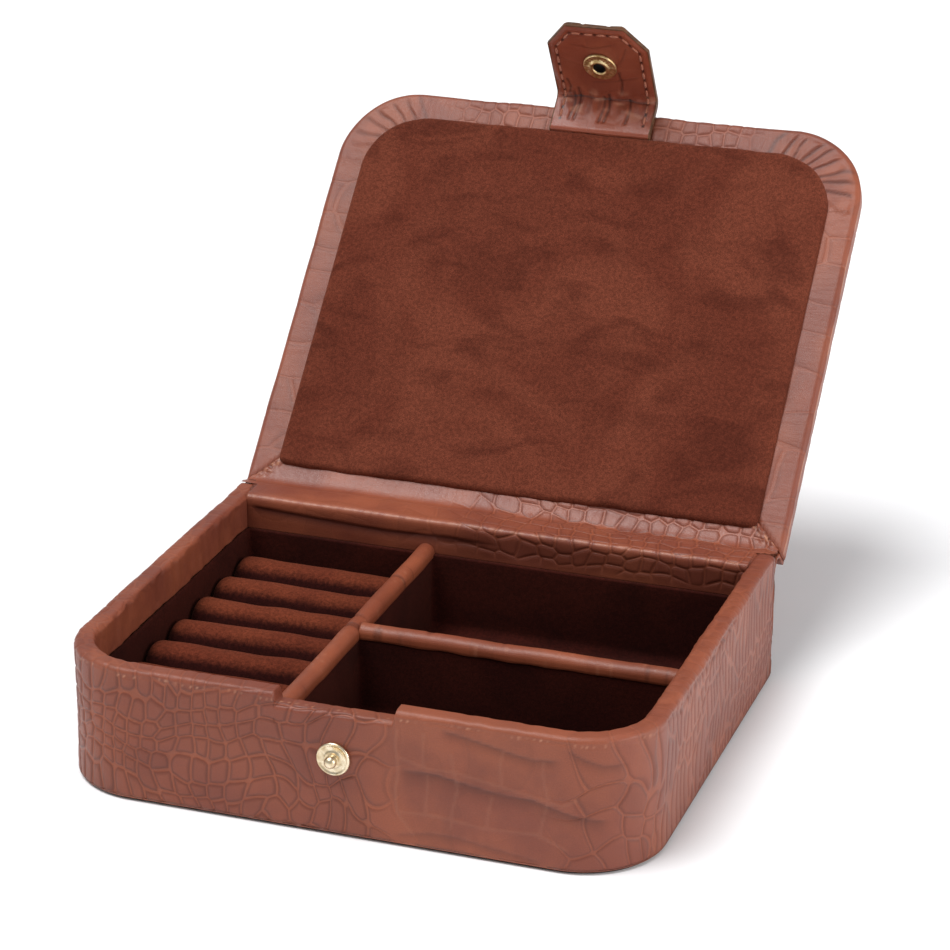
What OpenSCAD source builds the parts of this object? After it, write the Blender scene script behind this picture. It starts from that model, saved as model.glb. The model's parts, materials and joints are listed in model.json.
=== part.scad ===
// Leather jewellery case: a leather-covered tray with three suede bays, a padded lid on a
// leather hinge, and a closing tab with a press stud.
// Origin: centre of the tray's underside. +X right, +Y towards the hinge, +Z up.
// The lid and the tab are drawn closed and clasped, then turned to their open resting place.

/* [Tray] */
// Width of the tray, left to right
tray_w = 180; // [170:1:200]
// Depth of the tray, front to back
tray_d = 144.5; // [140:0.5:160]
// Height of the rim above the table
tray_h = 42.2; // [41:0.1:50]
// Outer radius of the two front corners
corner_r = 25; // [20:1:32]
// Width of the padded rim along the front and the sides
rim_w = 6.4; // [6:0.1:8]
// Width of the rim along the back, up to the back wall
back_rim_w = 9.5; // [8:0.1:11]
// Depth of the leather that is turned down inside the rim
turn_in = 11.5; // [11:0.1:14]
// Thickness of the leather skin
skin = 1.2; // [1:0.1:1.3]
// Depth of the notch in the front rim that the tab passes through
notch_depth = 3.6; // [3.4:0.1:5]

/* [Inside] */
// Height of the dividers' tops above the table
divider_top = 34; // [33:0.1:36]
// Thickness of a divider over its leather
divider_t = 5.1; // [4.8:0.1:6]
// Centre of the long divider, across the tray
long_divider_x = -21.6; // [-28:0.1:-20]
// Centre of the cross divider, front to back
cross_divider_y = -2; // [-6:0.5:6]
// Thickness of the suede lining with its card
liner_t = 1.25; // [1:0.05:1.3]
// Radius of a ring roll
roll_r = 7.9; // [7:0.1:8]
// Spacing of the ring rolls
roll_pitch = 17.2; // [16.5:0.1:17.3]
// Height of the ring rolls' centres above the table
roll_z = 16.8; // [15:0.1:18]

/* [Lid] */
// Width of the lid
lid_w = 181.2; // [181:0.1:182]
// Length of the lid, from the hinge edge to the front edge
lid_l = 149; // [149:0.5:151]
// Thickness of the padded lid
lid_t = 8; // [7.5:0.1:9]
// Angle between the closed lid and its open resting place
lid_open = 134.4; // [100:0.1:140]
// How far the suede panel stands out of the lid's border
panel_proud = 2; // [1.5:0.1:2.2]

/* [Tab and snap] */
// Centre of the tab, the notch and the snap, across the tray
catch_x = -1; // [-3:0.5:3]
// Width of the tab
tab_w = 35; // [33:0.5:35]
// Length of the tab from its fold to its end
tab_l = 34.5; // [32:0.5:36]
// Bend of the tab from the lid's plane at rest; 90 is clasped
tab_rest = 77; // [0:1:90]
// Height of the press stud above the table
stud_z = 24.5; // [22:0.5:26]

/* [Hidden] */
$fn = 96;
e = 0.01;                                    // overshoot of a cut past the face it opens

// Tray, from the table up
cover_t = 0.8;
board_t = 2.4;
floor_z = cover_t + board_t;                 // top of the bottom board
frame_t = rim_w - 2 * skin;
front_y = -tray_d / 2;
back_y = tray_d / 2;
back_in_y = back_y - back_rim_w;             // inner face of the back wall
liner_top = tray_h - turn_in + 0.3;          // the lining laps the turned-in leather's edge
cover_inset = 1.5;
spine_t = 2.2;
spine_card_t = 1.2;
spine_z = 3.5;                               // lower edge of the flap behind the tray
hinge_lap = 4.6;                             // hinge leather behind the back wall
notch_w = tab_w + 1;

// Dividers and rolls
divider_core = divider_t - 2 * liner_t;
roll_count = 7;
roll_first_y = back_in_y - liner_t - roll_r - 1.6;
roll_foot = 6.5;                             // half-width of a roll's foot

// Inner faces of the walls, and both faces of the dividers' boards
in_x = tray_w / 2 - rim_w;
in_y = front_y + rim_w;
long_l = long_divider_x - divider_core / 2;
long_r = long_divider_x + divider_core / 2;
cross_f = cross_divider_y - divider_core / 2;
cross_b = cross_divider_y + divider_core / 2;

// Hinge axis, along X, behind the rim
hinge_y = back_y + 5.4;
hinge_z = tray_h - 1.1;

// Lid, drawn closed
lid_gap = 0.6;
lid_z = tray_h + lid_gap;                    // inner face of the border
lid_back_y = back_y + 4.5;
lid_front_y = lid_back_y - lid_l;
lid_corner_r = corner_r + 0.6;
lid_board_t = 3;
border_w = 16;                               // turned-in border, part of it under the panel
panel_side = 9.6;
panel_front = 9.8;
panel_back = 6.5;
panel_r = 21;
panel_thin = 0.4;                            // the panel's edge that lies over the back rim

// Tab, drawn clasped
leather_t = 1.2;
pivot_y = front_y - 4.2;
pivot_z = lid_z - leather_t;
root_skived = 1;                             // the root is pared where the panel covers it
root_hidden = 6;
pivot_gap = 0.4;
chamfer_w = 7.3;
chamfer_h = 9.6;

// Snap: stud on the tray, socket and cap on the tab
plate_r = 5.1;
plate_t = 1;
neck_r = 1.3;
ball_r = 1.9;
ball_y = front_y - 2.5;
rivet_r = 1.1;
rivet_head_r = 4;
rivet_head_t = 0.6;
socket_r = 5.75;
socket_face_y = front_y - plate_t - 0.1;
barrel_r = 3;
bore_r = 2.05;
cap_r = 6.4;
cap_t = 0.9;
shank_r = 1.6;

// Stitches of the tab
stitch_inset = 3;
stitch_len = 3.2;
stitch_pitch = 4.4;
stitch_w = 0.5;
stitch_h = 0.3;

// Plan of the tray pulled in by d: round front corners, square back corners
module tray_plan(d, back = back_y) {
    r = corner_r - d;
    w = tray_w / 2 - d;
    f = front_y + d;
    translate([-w, f + r]) square([2 * w, back - f - r]);
    translate([-w + r, f]) square([2 * (w - r), r + e]);
    for (s = [-1, 1]) translate([s * (w - r), f + r]) circle(r);
}

// Plan of the closed lid pulled in by d on its front and sides
module lid_plan(d, back = lid_back_y) {
    r = lid_corner_r - d;
    w = lid_w / 2 - d;
    f = lid_front_y + d;
    translate([-w, f + r]) square([2 * w, back - f - r]);
    translate([-w + r, f]) square([2 * (w - r), r + e]);
    for (s = [-1, 1]) translate([s * (w - r), f + r]) circle(r);
}

module slab(z0, z1) { translate([0, 0, z0]) linear_extrude(z1 - z0) children(); }

// A block given by its two corners
module block(a, b) { translate(a) cube(b - a); }

// A cylinder along Y from y0 to y1, centred on the snap
module snap_bar(r, y0, y1, z = stud_z) {
    translate([catch_x, y1, z]) rotate([90, 0, 0]) cylinder(r = r, h = y1 - y0);
}

// Turns the closed lid to its open resting place
module at_lid() {
    translate([0, hinge_y, hinge_z]) rotate([-lid_open, 0, 0])
        translate([0, -hinge_y, -hinge_z]) children();
}

// Turns the clasped tab to its resting bend, on the open lid
module at_tab() {
    at_lid() translate([0, pivot_y, pivot_z]) rotate([tab_rest - 90, 0, 0])
        translate([0, -pivot_y, -pivot_z]) children();
}

// ---- Tray ----

module bottom_cover() {
    color("#2b1a16") slab(0, cover_t) tray_plan(cover_inset, back_y - cover_inset);
}

module bottom_board() {
    color("#b89466") slab(cover_t, floor_z) tray_plan(skin);
}

// Front and sides in one bent board, with the notch for the tab
module wall_frame() {
    color("#b89466") difference() {
        slab(floor_z, tray_h - skin) difference() {
            tray_plan(skin);
            tray_plan(skin + frame_t, back_y + e);
        }
        notch_cut(notch_depth + skin, skin);
        snap_bar(rivet_r, front_y - e, front_y + rim_w);
        snap_bar(rivet_head_r, front_y + rim_w - skin - rivet_head_t, front_y + rim_w);
    }
}

// The notch, deepened and widened for the layer that it cuts
module notch_cut(depth, grow) {
    block([catch_x - notch_w / 2 - grow, front_y - 1, tray_h - depth],
        [catch_x + notch_w / 2 + grow, front_y + rim_w + 1, tray_h + 1]);
}

module back_wall_board() {
    w = tray_w / 2 - rim_w + skin;
    color("#b89466") block([-w, back_in_y + skin, floor_z], [w, back_y, tray_h - skin]);
}

// One leather skin: outside, over the rim and turned down inside
module wall_leather() {
    color("#9a5844") difference() {
        union() {
            slab(cover_t, tray_h) difference() {
                tray_plan(0);
                tray_plan(skin, back_y + e);
            }
            slab(tray_h - skin, tray_h) rim_plan();
            slab(tray_h - turn_in, tray_h) inner_turn_plan();
            notch_skin();
        }
        notch_cut(notch_depth, 0);
        snap_bar(neck_r, front_y - e, front_y + skin + e);
    }
}

module rim_plan() {
    difference() {
        tray_plan(0);
        tray_plan(rim_w, back_y + e);
    }
}

module inner_turn_plan() {
    difference() {
        tray_plan(rim_w - skin, back_in_y);
        tray_plan(rim_w, back_in_y + e);
    }
}

// Floor and cheeks of the notch
module notch_skin() {
    intersection() {
        block([catch_x - notch_w / 2 - skin, front_y, tray_h - notch_depth - skin],
            [catch_x + notch_w / 2 + skin, front_y + rim_w, tray_h]);
        slab(0, tray_h) rim_plan();
    }
}

// Leather over the back wall: turned down inside, and out towards the lid
module hinge_leather_tray() {
    w = tray_w / 2 - rim_w;
    color("#a3604a") union() {
        block([-w, back_in_y, tray_h - turn_in], [w, back_in_y + skin, tray_h]);
        block([-w, back_in_y, tray_h - skin], [w, back_y + e, tray_h]);
        block([-tray_w / 2, back_y, tray_h - skin], [tray_w / 2, back_y + hinge_lap, tray_h]);
    }
}

module spine_board() {
    w = tray_w / 2 - 1;
    color("#8a7358") block([-w, back_y, spine_z + 1], [w, back_y + spine_card_t, tray_h - skin]);
}

module spine_leather() {
    color("#6f4033") difference() {
        block([-tray_w / 2, back_y, spine_z], [tray_w / 2, back_y + spine_t, tray_h - skin]);
        block([-tray_w / 2 + 1, back_y - e, spine_z + 1],
            [tray_w / 2 - 1, back_y + spine_card_t, tray_h]);
    }
}

// ---- Lining, dividers and ring rolls ----

// An open tray of suede that fills the plan between two corners
module bay_liner(a, b) {
    color("#4a2018") difference() {
        slab(floor_z, liner_top) bay_plan(0, a, b);
        slab(floor_z + liner_t, tray_h) bay_plan(liner_t, a, b);
    }
}

module bay_plan(d, a, b) {
    intersection() {
        tray_plan(rim_w + d, back_in_y - d);
        translate([a.x + d, a.y + d]) square([b.x - a.x - 2 * d, b.y - a.y - 2 * d]);
    }
}

module ring_bay_liner() { bay_liner([-in_x, in_y], [long_l, back_in_y]); }
module rear_bay_liner() { bay_liner([long_r, cross_b], [in_x, back_in_y]); }
module front_bay_liner() { bay_liner([long_r, in_y], [in_x, cross_f]); }

module long_divider_board() {
    color("#b89466")
        block([long_l, in_y, floor_z], [long_r, back_in_y, divider_top - liner_t]);
}

module cross_divider_board() {
    color("#b89466") difference() {
        block([long_r, cross_f, floor_z], [in_x, cross_b, divider_top - liner_t]);
        block([long_r - e, cross_f - e, liner_top],
            [long_divider_x + divider_t / 2, cross_b + e, divider_top]);
    }
}

// Round-topped leather channel over a divider, along Y, of the given length
module divider_cap(length) {
    r = divider_t / 2;
    rotate([-90, 0, 0]) linear_extrude(length) mirror([0, 1]) difference() {
        union() {
            translate([0, divider_top - r]) circle(r);
            translate([-r, liner_top]) square([divider_t, divider_top - r - liner_top]);
        }
        translate([-r - e, 0]) square([divider_t + 2 * e, liner_top]);
        translate([-divider_core / 2, 0]) square([divider_core, divider_top - liner_t]);
    }
}

module long_divider_cap() {
    color("#b06a4a") translate([long_divider_x, in_y, 0]) divider_cap(back_in_y - in_y);
}

module cross_divider_cap() {
    start = long_divider_x + divider_t / 2;
    color("#b06a4a") translate([in_x, cross_divider_y, 0]) rotate([0, 0, 90])
        divider_cap(in_x - start);
}

// One suede roll across the ring bay, on its narrower foot
module ring_roll(i) {
    y = roll_first_y - (i - 1) * roll_pitch;
    x0 = -in_x + liner_t;
    x1 = long_l - liner_t;
    color("#5c2c20") intersection() {
        translate([x0, y, 0]) rotate([90, 0, 90]) linear_extrude(x1 - x0) union() {
            translate([0, roll_z]) circle(roll_r);
            translate([-roll_foot, floor_z + liner_t])
                square([2 * roll_foot, roll_z - floor_z - liner_t]);
        }
        slab(0, tray_h) tray_plan(rim_w + liner_t);
    }
}

// ---- Press stud on the tray ----

module stud() {
    color("#d9c896") union() {
        snap_bar(plate_r, front_y - plate_t, front_y);
        snap_bar(neck_r, ball_y, front_y + skin);
        translate([catch_x, ball_y, stud_z]) sphere(ball_r);
    }
}

module stud_rivet() {
    y1 = front_y + rim_w - skin;
    color("#c9b27a") union() {
        snap_bar(rivet_r, front_y + skin, y1);
        snap_bar(rivet_head_r, y1 - rivet_head_t, y1);
    }
}

// ---- Lid, drawn closed ----

module lid_board() {
    color("#b89466") at_lid() slab(lid_z + skin, lid_z + skin + lid_board_t)
        lid_plan(skin, lid_back_y - skin);
}

module lid_padding() {
    color("#d8cdb8") at_lid() slab(lid_z + skin + lid_board_t, lid_z + lid_t - skin)
        lid_plan(skin, lid_back_y - skin);
}

// Cover of the lid, with its edges turned in to a border on three sides
module lid_leather() {
    color("#9a5844") at_lid() difference() {
        slab(lid_z, lid_z + lid_t) lid_plan(0);
        slab(lid_z + skin, lid_z + lid_t - skin) lid_plan(skin, lid_back_y - skin);
        slab(lid_z - e, lid_z + skin + e) lid_plan(border_w, lid_back_y - border_w);
        hinge_strip_cut();
    }
}

module hinge_strip_cut() {
    w = lid_w / 2 - border_w;
    block([-w, lid_back_y - border_w - e, lid_z - e], [w, lid_back_y + e, lid_z + skin]);
}

module hinge_leather_lid() {
    w = lid_w / 2 - border_w;
    color("#a3604a") at_lid()
        block([-w, lid_back_y - border_w, lid_z], [w, lid_back_y, lid_z + skin]);
}

// Suede panel: proud over the tray's opening, thin where it lies over the back rim
module lid_panel() {
    thin_y = back_in_y - 1;
    color("#7a3c2c") at_lid() difference() {
        union() {
            slab(lid_z - panel_proud, lid_z) panel_plan(thin_y);
            slab(lid_z - panel_thin, lid_z) panel_plan(lid_back_y - panel_back);
            slab(lid_z, lid_z + skin) lid_plan(border_w, lid_back_y - border_w);
        }
        block([catch_x - tab_w / 2, lid_front_y, lid_z - root_skived],
            [catch_x + tab_w / 2, lid_front_y + panel_front + root_hidden, lid_z]);
    }
}

module panel_plan(back) {
    w = lid_w / 2 - panel_side;
    f = lid_front_y + panel_front;
    translate([-w, f + panel_r]) square([2 * w, back - f - panel_r]);
    translate([-w + panel_r, f]) square([2 * (w - panel_r), panel_r + e]);
    for (s = [-1, 1]) translate([s * (w - panel_r), f + panel_r]) circle(panel_r);
}

// Root of the tab: sewn on the border, pared under the panel
module tab_root() {
    x0 = catch_x - tab_w / 2;
    x1 = catch_x + tab_w / 2;
    panel_y = lid_front_y + panel_front;
    color("#8a4a35") at_lid() union() {
        block([x0, pivot_y + leather_t + pivot_gap, lid_z - 2 * leather_t],
            [x1, panel_y, lid_z]);
        block([x0, panel_y - e, lid_z - root_skived], [x1, panel_y + root_hidden, lid_z]);
    }
}

// ---- Tab, drawn clasped: it hangs from its fold in front of the tray ----

// Face of the tab from the fold down, with cut corners, drawn in X and Z
module tab_face() {
    w = tab_w / 2;
    polygon([[-w, 0], [w, 0], [w, chamfer_h - tab_l], [w - chamfer_w, -tab_l],
        [chamfer_w - w, -tab_l], [-w, chamfer_h - tab_l]]);
}

// The tab's face as a layer between y0 and y1
module tab_layer(y0, y1) {
    translate([catch_x, y1, pivot_z]) rotate([90, 0, 0]) linear_extrude(y1 - y0) tab_face();
}

// Half of the round fold, on the inner (+1) or the outer (-1) side
module fold_half(side) {
    intersection() {
        translate([catch_x - tab_w / 2, pivot_y, pivot_z]) rotate([0, 90, 0])
            cylinder(r = leather_t, h = tab_w);
        translate([catch_x - tab_w / 2, side > 0 ? pivot_y : pivot_y - leather_t, pivot_z])
            cube([tab_w, leather_t, leather_t]);
    }
}

module tab_inner_leather() {
    color("#8a4a35") at_tab() difference() {
        union() {
            tab_layer(pivot_y, pivot_y + leather_t);
            fold_half(1);
        }
        snap_bar(barrel_r, pivot_y - e, pivot_y + leather_t + e);
    }
}

module tab_outer_leather() {
    color("#9a5844") at_tab() difference() {
        union() {
            tab_layer(pivot_y - leather_t, pivot_y);
            fold_half(-1);
        }
        snap_bar(shank_r, pivot_y - leather_t - e, pivot_y + e);
    }
}

// Stitches along one side of the tab's outline, from point a to point b, in X and Z
module stitch_run(a, b) {
    d = b - a;
    count = max(1, round(norm(d) / stitch_pitch));
    for (i = [0 : count - 1]) {
        p = a + d * (i + 0.5) / count;
        translate([p.x, 0, p.y]) rotate([0, -atan2(d.y, d.x), 0])
            translate([-stitch_len / 2, 0, -stitch_w / 2]) cube([stitch_len, stitch_h, stitch_w]);
    }
}

// The whole line of stitches on one face of the tab
module stitch_line() {
    w = tab_w / 2 - stitch_inset;
    c = chamfer_h - tab_l + stitch_inset * 0.4;
    b = stitch_inset - tab_l;
    k = w - chamfer_w + stitch_inset * 0.4;
    stitch_run([-w, -1], [-w, c]);
    stitch_run([-w, c], [-k, b]);
    stitch_run([-k, b], [k, b]);
    stitch_run([k, b], [w, c]);
    stitch_run([w, c], [w, -1]);
}

module tab_stitching() {
    color("#7a4a38") at_tab() for (y = [pivot_y + leather_t, pivot_y - leather_t - stitch_h])
        translate([catch_x, y, pivot_z]) stitch_line();
}

// Ring and barrel that the stud's ball enters
module snap_socket() {
    color("#c9b27a") at_tab() difference() {
        union() {
            snap_bar(socket_r, pivot_y + leather_t, socket_face_y);
            snap_bar(barrel_r, pivot_y, pivot_y + leather_t + e);
        }
        snap_bar(bore_r, pivot_y - e, front_y);
    }
}

module snap_cap() {
    cap_y = pivot_y - leather_t;
    color("#d9c896") at_tab() union() {
        snap_bar(cap_r, cap_y - cap_t, cap_y);
        snap_bar(shank_r, cap_y - e, pivot_y - 0.3);
    }
}

bottom_cover();
bottom_board();
wall_frame();
back_wall_board();
wall_leather();
hinge_leather_tray();
spine_board();
spine_leather();
ring_bay_liner();
rear_bay_liner();
front_bay_liner();
long_divider_board();
long_divider_cap();
cross_divider_board();
cross_divider_cap();
ring_roll(1);  // ring_roll_1
ring_roll(2);  // ring_roll_2
ring_roll(3);  // ring_roll_3
ring_roll(4);  // ring_roll_4
ring_roll(5);  // ring_roll_5
ring_roll(6);  // ring_roll_6
ring_roll(7);  // ring_roll_7
stud();
stud_rivet();
lid_board();
lid_padding();
lid_leather();
lid_panel();
hinge_leather_lid();
tab_root();
tab_inner_leather();
tab_outer_leather();
tab_stitching();
snap_socket();
snap_cap();
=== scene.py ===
# %% [markdown]
# # A leather jewellery case
# The case is a leather-covered tray with three suede bays, a padded lid on a leather hinge and
# a closing tab with a press stud. The CAD frame holds every body, joint and size; the pieces
# below stand in the frame's places and carry the leather's grain, folds, seams and suede.
# Sizes are written in millimetres, as on a maker's drawing, and turned to metres in one helper.

# %% Load the frame
import json
import math

import bpy
import numpy as np
from mathutils import Matrix, Vector


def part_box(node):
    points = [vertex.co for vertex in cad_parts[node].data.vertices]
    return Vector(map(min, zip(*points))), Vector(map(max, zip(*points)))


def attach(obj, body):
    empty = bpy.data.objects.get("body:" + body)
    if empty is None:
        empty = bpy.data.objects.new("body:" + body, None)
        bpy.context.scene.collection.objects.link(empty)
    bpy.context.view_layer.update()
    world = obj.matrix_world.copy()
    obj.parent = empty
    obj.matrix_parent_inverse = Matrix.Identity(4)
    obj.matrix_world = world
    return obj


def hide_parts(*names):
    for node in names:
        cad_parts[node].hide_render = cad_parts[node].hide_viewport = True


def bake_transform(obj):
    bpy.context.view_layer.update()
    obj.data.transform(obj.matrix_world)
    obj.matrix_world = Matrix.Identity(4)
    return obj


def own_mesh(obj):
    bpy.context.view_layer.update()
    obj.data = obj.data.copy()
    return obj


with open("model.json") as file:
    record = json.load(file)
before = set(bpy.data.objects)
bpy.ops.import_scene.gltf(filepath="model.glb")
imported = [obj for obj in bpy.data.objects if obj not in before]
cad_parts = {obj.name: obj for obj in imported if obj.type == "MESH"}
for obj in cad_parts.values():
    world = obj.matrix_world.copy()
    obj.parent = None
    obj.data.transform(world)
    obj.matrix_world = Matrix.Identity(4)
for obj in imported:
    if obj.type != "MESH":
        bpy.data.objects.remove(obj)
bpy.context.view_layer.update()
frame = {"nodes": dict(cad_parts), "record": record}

MM = 0.001

# %% [markdown]
# ## Camera
# A long lens a metre away, a little to the right and above, keeps the case's sides nearly
# parallel. The camera's axes are worked out from its azimuth, elevation and a slight roll.

# %% Place the camera
AZIMUTH, ELEVATION, ROLL = (math.radians(a) for a in (18.7, 21.6, 0.54))
AIM = Vector((10.8, 14.8, 79.7)) * MM
DISTANCE = 987.1 * MM
LENS, SENSOR = 125.6, 36

backward = Vector((math.sin(AZIMUTH) * math.cos(ELEVATION),
                   -math.cos(AZIMUTH) * math.cos(ELEVATION), math.sin(ELEVATION)))
right = Vector((math.cos(AZIMUTH), math.sin(AZIMUTH), 0))
upward = backward.cross(right)
rolled_right = right * math.cos(ROLL) + upward * math.sin(ROLL)
rolled_up = upward * math.cos(ROLL) - right * math.sin(ROLL)

bpy.ops.object.camera_add()
camera = bpy.context.object
camera.name = "camera"
camera.matrix_world = Matrix.Translation(AIM + backward * DISTANCE) @ Matrix(
    (rolled_right, rolled_up, backward)).transposed().to_4x4()
camera.data.lens = LENS
camera.data.sensor_width = SENSOR
bpy.context.scene.camera = camera
print("camera at", [round(c, 4) for c in camera.location])

# %% [markdown]
# ## Light
# A high, very wide sun lights the case and the floor evenly, so the floor stays white to the
# horizon and the shadow has no hard edge. A soft lamp from the right grazes the side wall, and
# a pale room fills the rest.

# %% Soft studio light
def lamp(kind, name, place, aim, power, **settings):
    """A lamp at a place, turned to an aim, both in mm."""
    bpy.ops.object.light_add(type=kind, location=Vector(place) * MM)
    made = bpy.context.object
    made.name, made.data.energy = name, power
    for setting, value in settings.items():
        setattr(made.data, setting, value)
    heading = Vector(aim) * MM - made.location
    made.rotation_euler = heading.to_track_quat("-Z", "Y").to_euler()


lamp("SUN", "high_sun", (-280, -220, 930), (0, 0, 0), 2.7, angle=math.radians(34))
lamp("AREA", "side_light", (1250, -150, 420), (0, 0, 60), 9, shape="DISK", size=0.8)

world = bpy.context.scene.world or bpy.data.worlds.new("room")
bpy.context.scene.world = world
world.use_nodes = True
room = world.node_tree.nodes.get("Background")
room.inputs["Color"].default_value = (0.96, 0.98, 1.0, 1)
room.inputs["Strength"].default_value = 0.42
bpy.context.scene.view_settings.view_transform = "Standard"

# %% [markdown]
# ## Finishes
# Each finish is a Principled shader fed by noise and cell patterns. A small builder class keeps
# the node lines short: `add` makes a node, feeds it, and hands back the node for the next one.
# A size or a gloss that is the same all over is set straight on the shader.

# %% A builder for node finishes
def srgb(red, green, blue):
    """A screen colour, 0 to 255, as the linear colour that a shader takes."""
    parts = [c / 255 for c in (red, green, blue)]
    return tuple(c / 12.92 if c < 0.04045 else ((c + 0.055) / 1.055) ** 2.4
                 for c in parts) + (1,)


class Finish:
    def __init__(self, name, **shader_values):
        self.material = bpy.data.materials.new(name)
        self.material.use_nodes = True
        self.tree = self.material.node_tree
        self.shader = self.tree.nodes["Principled BSDF"]
        for socket, value in shader_values.items():
            self.shader.inputs[socket.replace("_", " ")].default_value = value

    def add(self, kind, inputs, **settings):
        node = self.tree.nodes.new(kind)
        for name, value in settings.items():
            setattr(node, name, value)
        for socket, value in inputs.items():
            self.feed(node.inputs[socket], value)
        return node

    def feed(self, socket, value):
        if isinstance(value, bpy.types.NodeSocket):
            self.tree.links.new(value, socket)
        else:
            socket.default_value = value

    def place(self, scale=1000):
        """The piece's own coordinates, in mm unless scaled otherwise."""
        own = self.add("ShaderNodeTexCoord", {}).outputs["Object"]
        return self.scaled(own, (scale, scale, scale))

    def layer(self, name, output="Fac"):
        return self.add("ShaderNodeAttribute", {}, attribute_name=name).outputs[output]

    def scaled(self, vector, scale):
        return self.add("ShaderNodeMapping", {"Vector": vector, "Scale": scale}).outputs[0]

    def noise(self, vector, scale, detail=3.0, rough=0.55, twist=0.0):
        return self.add("ShaderNodeTexNoise", {
            "Vector": vector, "Scale": scale, "Detail": detail, "Roughness": rough,
            "Distortion": twist}).outputs["Fac"]

    def cells(self, vector, scale, feature, evenness=1.0):
        return self.add("ShaderNodeTexVoronoi", {
            "Vector": vector, "Scale": scale, "Randomness": evenness},
            voronoi_dimensions="2D", feature=feature)

    def sums(self, operation, first, *others):
        for other in others:
            first = self.add("ShaderNodeMath", {0: first, 1: other},
                             operation=operation).outputs[0]
        return first

    def times(self, *values):
        return self.sums("MULTIPLY", *values)

    def steps(self, value, low, high, to_low=0.0, to_high=1.0):
        return self.add("ShaderNodeMapRange", {
            "Value": value, "From Min": low, "From Max": high, "To Min": to_low,
            "To Max": to_high}, interpolation_type="SMOOTHSTEP").outputs["Result"]

    def mix(self, share, first, second, blend="MIX"):
        return self.add("ShaderNodeMix", {0: share, 6: first, 7: second}, data_type="RGBA",
                        blend_type=blend).outputs[2]

    def shaded(self, colour, shade):
        """A colour made darker or lighter by a grey value."""
        grey = self.add("ShaderNodeCombineColor", {0: shade, 1: shade, 2: shade}).outputs[0]
        return self.mix(1.0, colour, grey, "MULTIPLY")

    def finish(self, colour, height=None, depth=0.0001, strength=1.0, rough=None):
        self.feed(self.shader.inputs["Base Color"], colour)
        if rough is not None:
            self.feed(self.shader.inputs["Roughness"], rough)
        if height is not None:
            bump = self.add("ShaderNodeBump", {
                "Height": height, "Distance": depth, "Strength": strength})
            self.feed(self.shader.inputs["Normal"], bump.outputs["Normal"])
        return self.material


# %% [markdown]
# The hide is calf pressed with a crocodile pattern. Its cells are a Voronoi pattern that reads
# the layer `hide`, in which one unit is one scale of the pattern, so scales can be small on one
# side of a piece and broad on the other. The same pattern presses the mesh itself, further on,
# so colour and relief meet exactly. The layer `mm` is the flat leather in millimetres, for the
# fine grain. The shade layer is painted shade: it darkens folds, creases, stitch holes, the wall
# under the hinge's roll and the caps' lower edges, where shade falls. The highlight layer is
# painted highlight: it lightens glints on creases and edges, lit ridges and shiny spots.

# %% The pressed hide
SCALE_EVENNESS = 0.46                          # 0 is a square grid
SCALE_ROUND = 0.7                              # scales never reach further than this


# painted highlight: the colour that glints, lit ridges and shiny spots are lightened to
PAINTED_HIGHLIGHT_COLOUR = srgb(204, 146, 116)


def hide_finish(name, pad, line, crease, gloss=0.43, coat=0.07, grain_depth=0.05):
    hide = Finish(name, Specular_IOR_Level=0.36, Coat_Weight=coat, Coat_Roughness=0.32)
    scales, flat = hide.layer("hide", "Vector"), hide.layer("mm", "Vector")
    press = hide.layer("press")
    edge = hide.cells(scales, 1.0, "DISTANCE_TO_EDGE", SCALE_EVENNESS).outputs["Distance"]
    near = hide.cells(scales, 1.0, "F1", SCALE_EVENNESS)
    rounded = hide.sums("SUBTRACT", SCALE_ROUND, near.outputs["Distance"])
    reach = hide.times(hide.sums("MINIMUM", edge, rounded), hide.layer("cell"))
    inside = hide.steps(reach, 0.16, 0.56)
    # a band round each scale, next to its groove, for painted shade
    rim = hide.times(hide.steps(reach, 0.2, 0.45), hide.steps(reach, 0.5, 1.3, 1.0, 0.0))
    clouds = hide.noise(hide.scaled(flat, (0.035, 0.035, 0.035)), 1.0, 4)
    fine = hide.noise(flat, 2.4, 4, 0.6)
    pores = hide.cells(flat, 1.7, "DISTANCE_TO_EDGE").outputs["Distance"]
    across = hide.noise(hide.scaled(flat, (0.55, 0.07, 0.5)), 1.0, 5, 0.62, 0.5)
    wrinkle = hide.steps(hide.sums("ABSOLUTE", hide.sums("SUBTRACT", across, 0.5), 0.0),
                         0.0, 0.03, 1.0, 0.0)
    colour = hide.mix(hide.steps(clouds, 0.36, 0.64), pad, line)
    colour = hide.mix(hide.times(press, 0.5), colour, hide.mix(inside, line, pad))
    # painted shade: the band round each scale is darkened to the crease colour
    colour = hide.mix(hide.times(press, rim, 0.4), colour, crease)
    each = hide.add("ShaderNodeSeparateColor", {"Color": near.outputs["Color"]}).outputs[0]
    colour = hide.shaded(colour, hide.times(hide.steps(fine, 0.3, 0.7, 0.9, 1.08),
                                            hide.steps(each, 0.0, 1.0, 0.95, 1.05)))
    # painted shade: folds, creases, stitch holes and the places under rolls and edges go to the
    # crease colour
    colour = hide.mix(hide.layer("tone"), colour, crease)
    # painted highlight: glints on creases and edges, lit ridges and shiny spots
    colour = hide.mix(hide.layer("worn"), colour, PAINTED_HIGHLIGHT_COLOUR)
    height = hide.sums("ADD", hide.times(inside, press, 0.16),
                       hide.times(fine, grain_depth * 1.2),
                       hide.times(hide.steps(pores, 0.0, 0.2), grain_depth * 0.5))
    height = hide.sums("SUBTRACT", height, hide.times(wrinkle, 0.016))
    rough = hide.steps(fine, 0.25, 0.75, gloss - 0.07, gloss + 0.08)
    return hide.finish(colour, height, 1 * MM, 0.85, rough)


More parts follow.
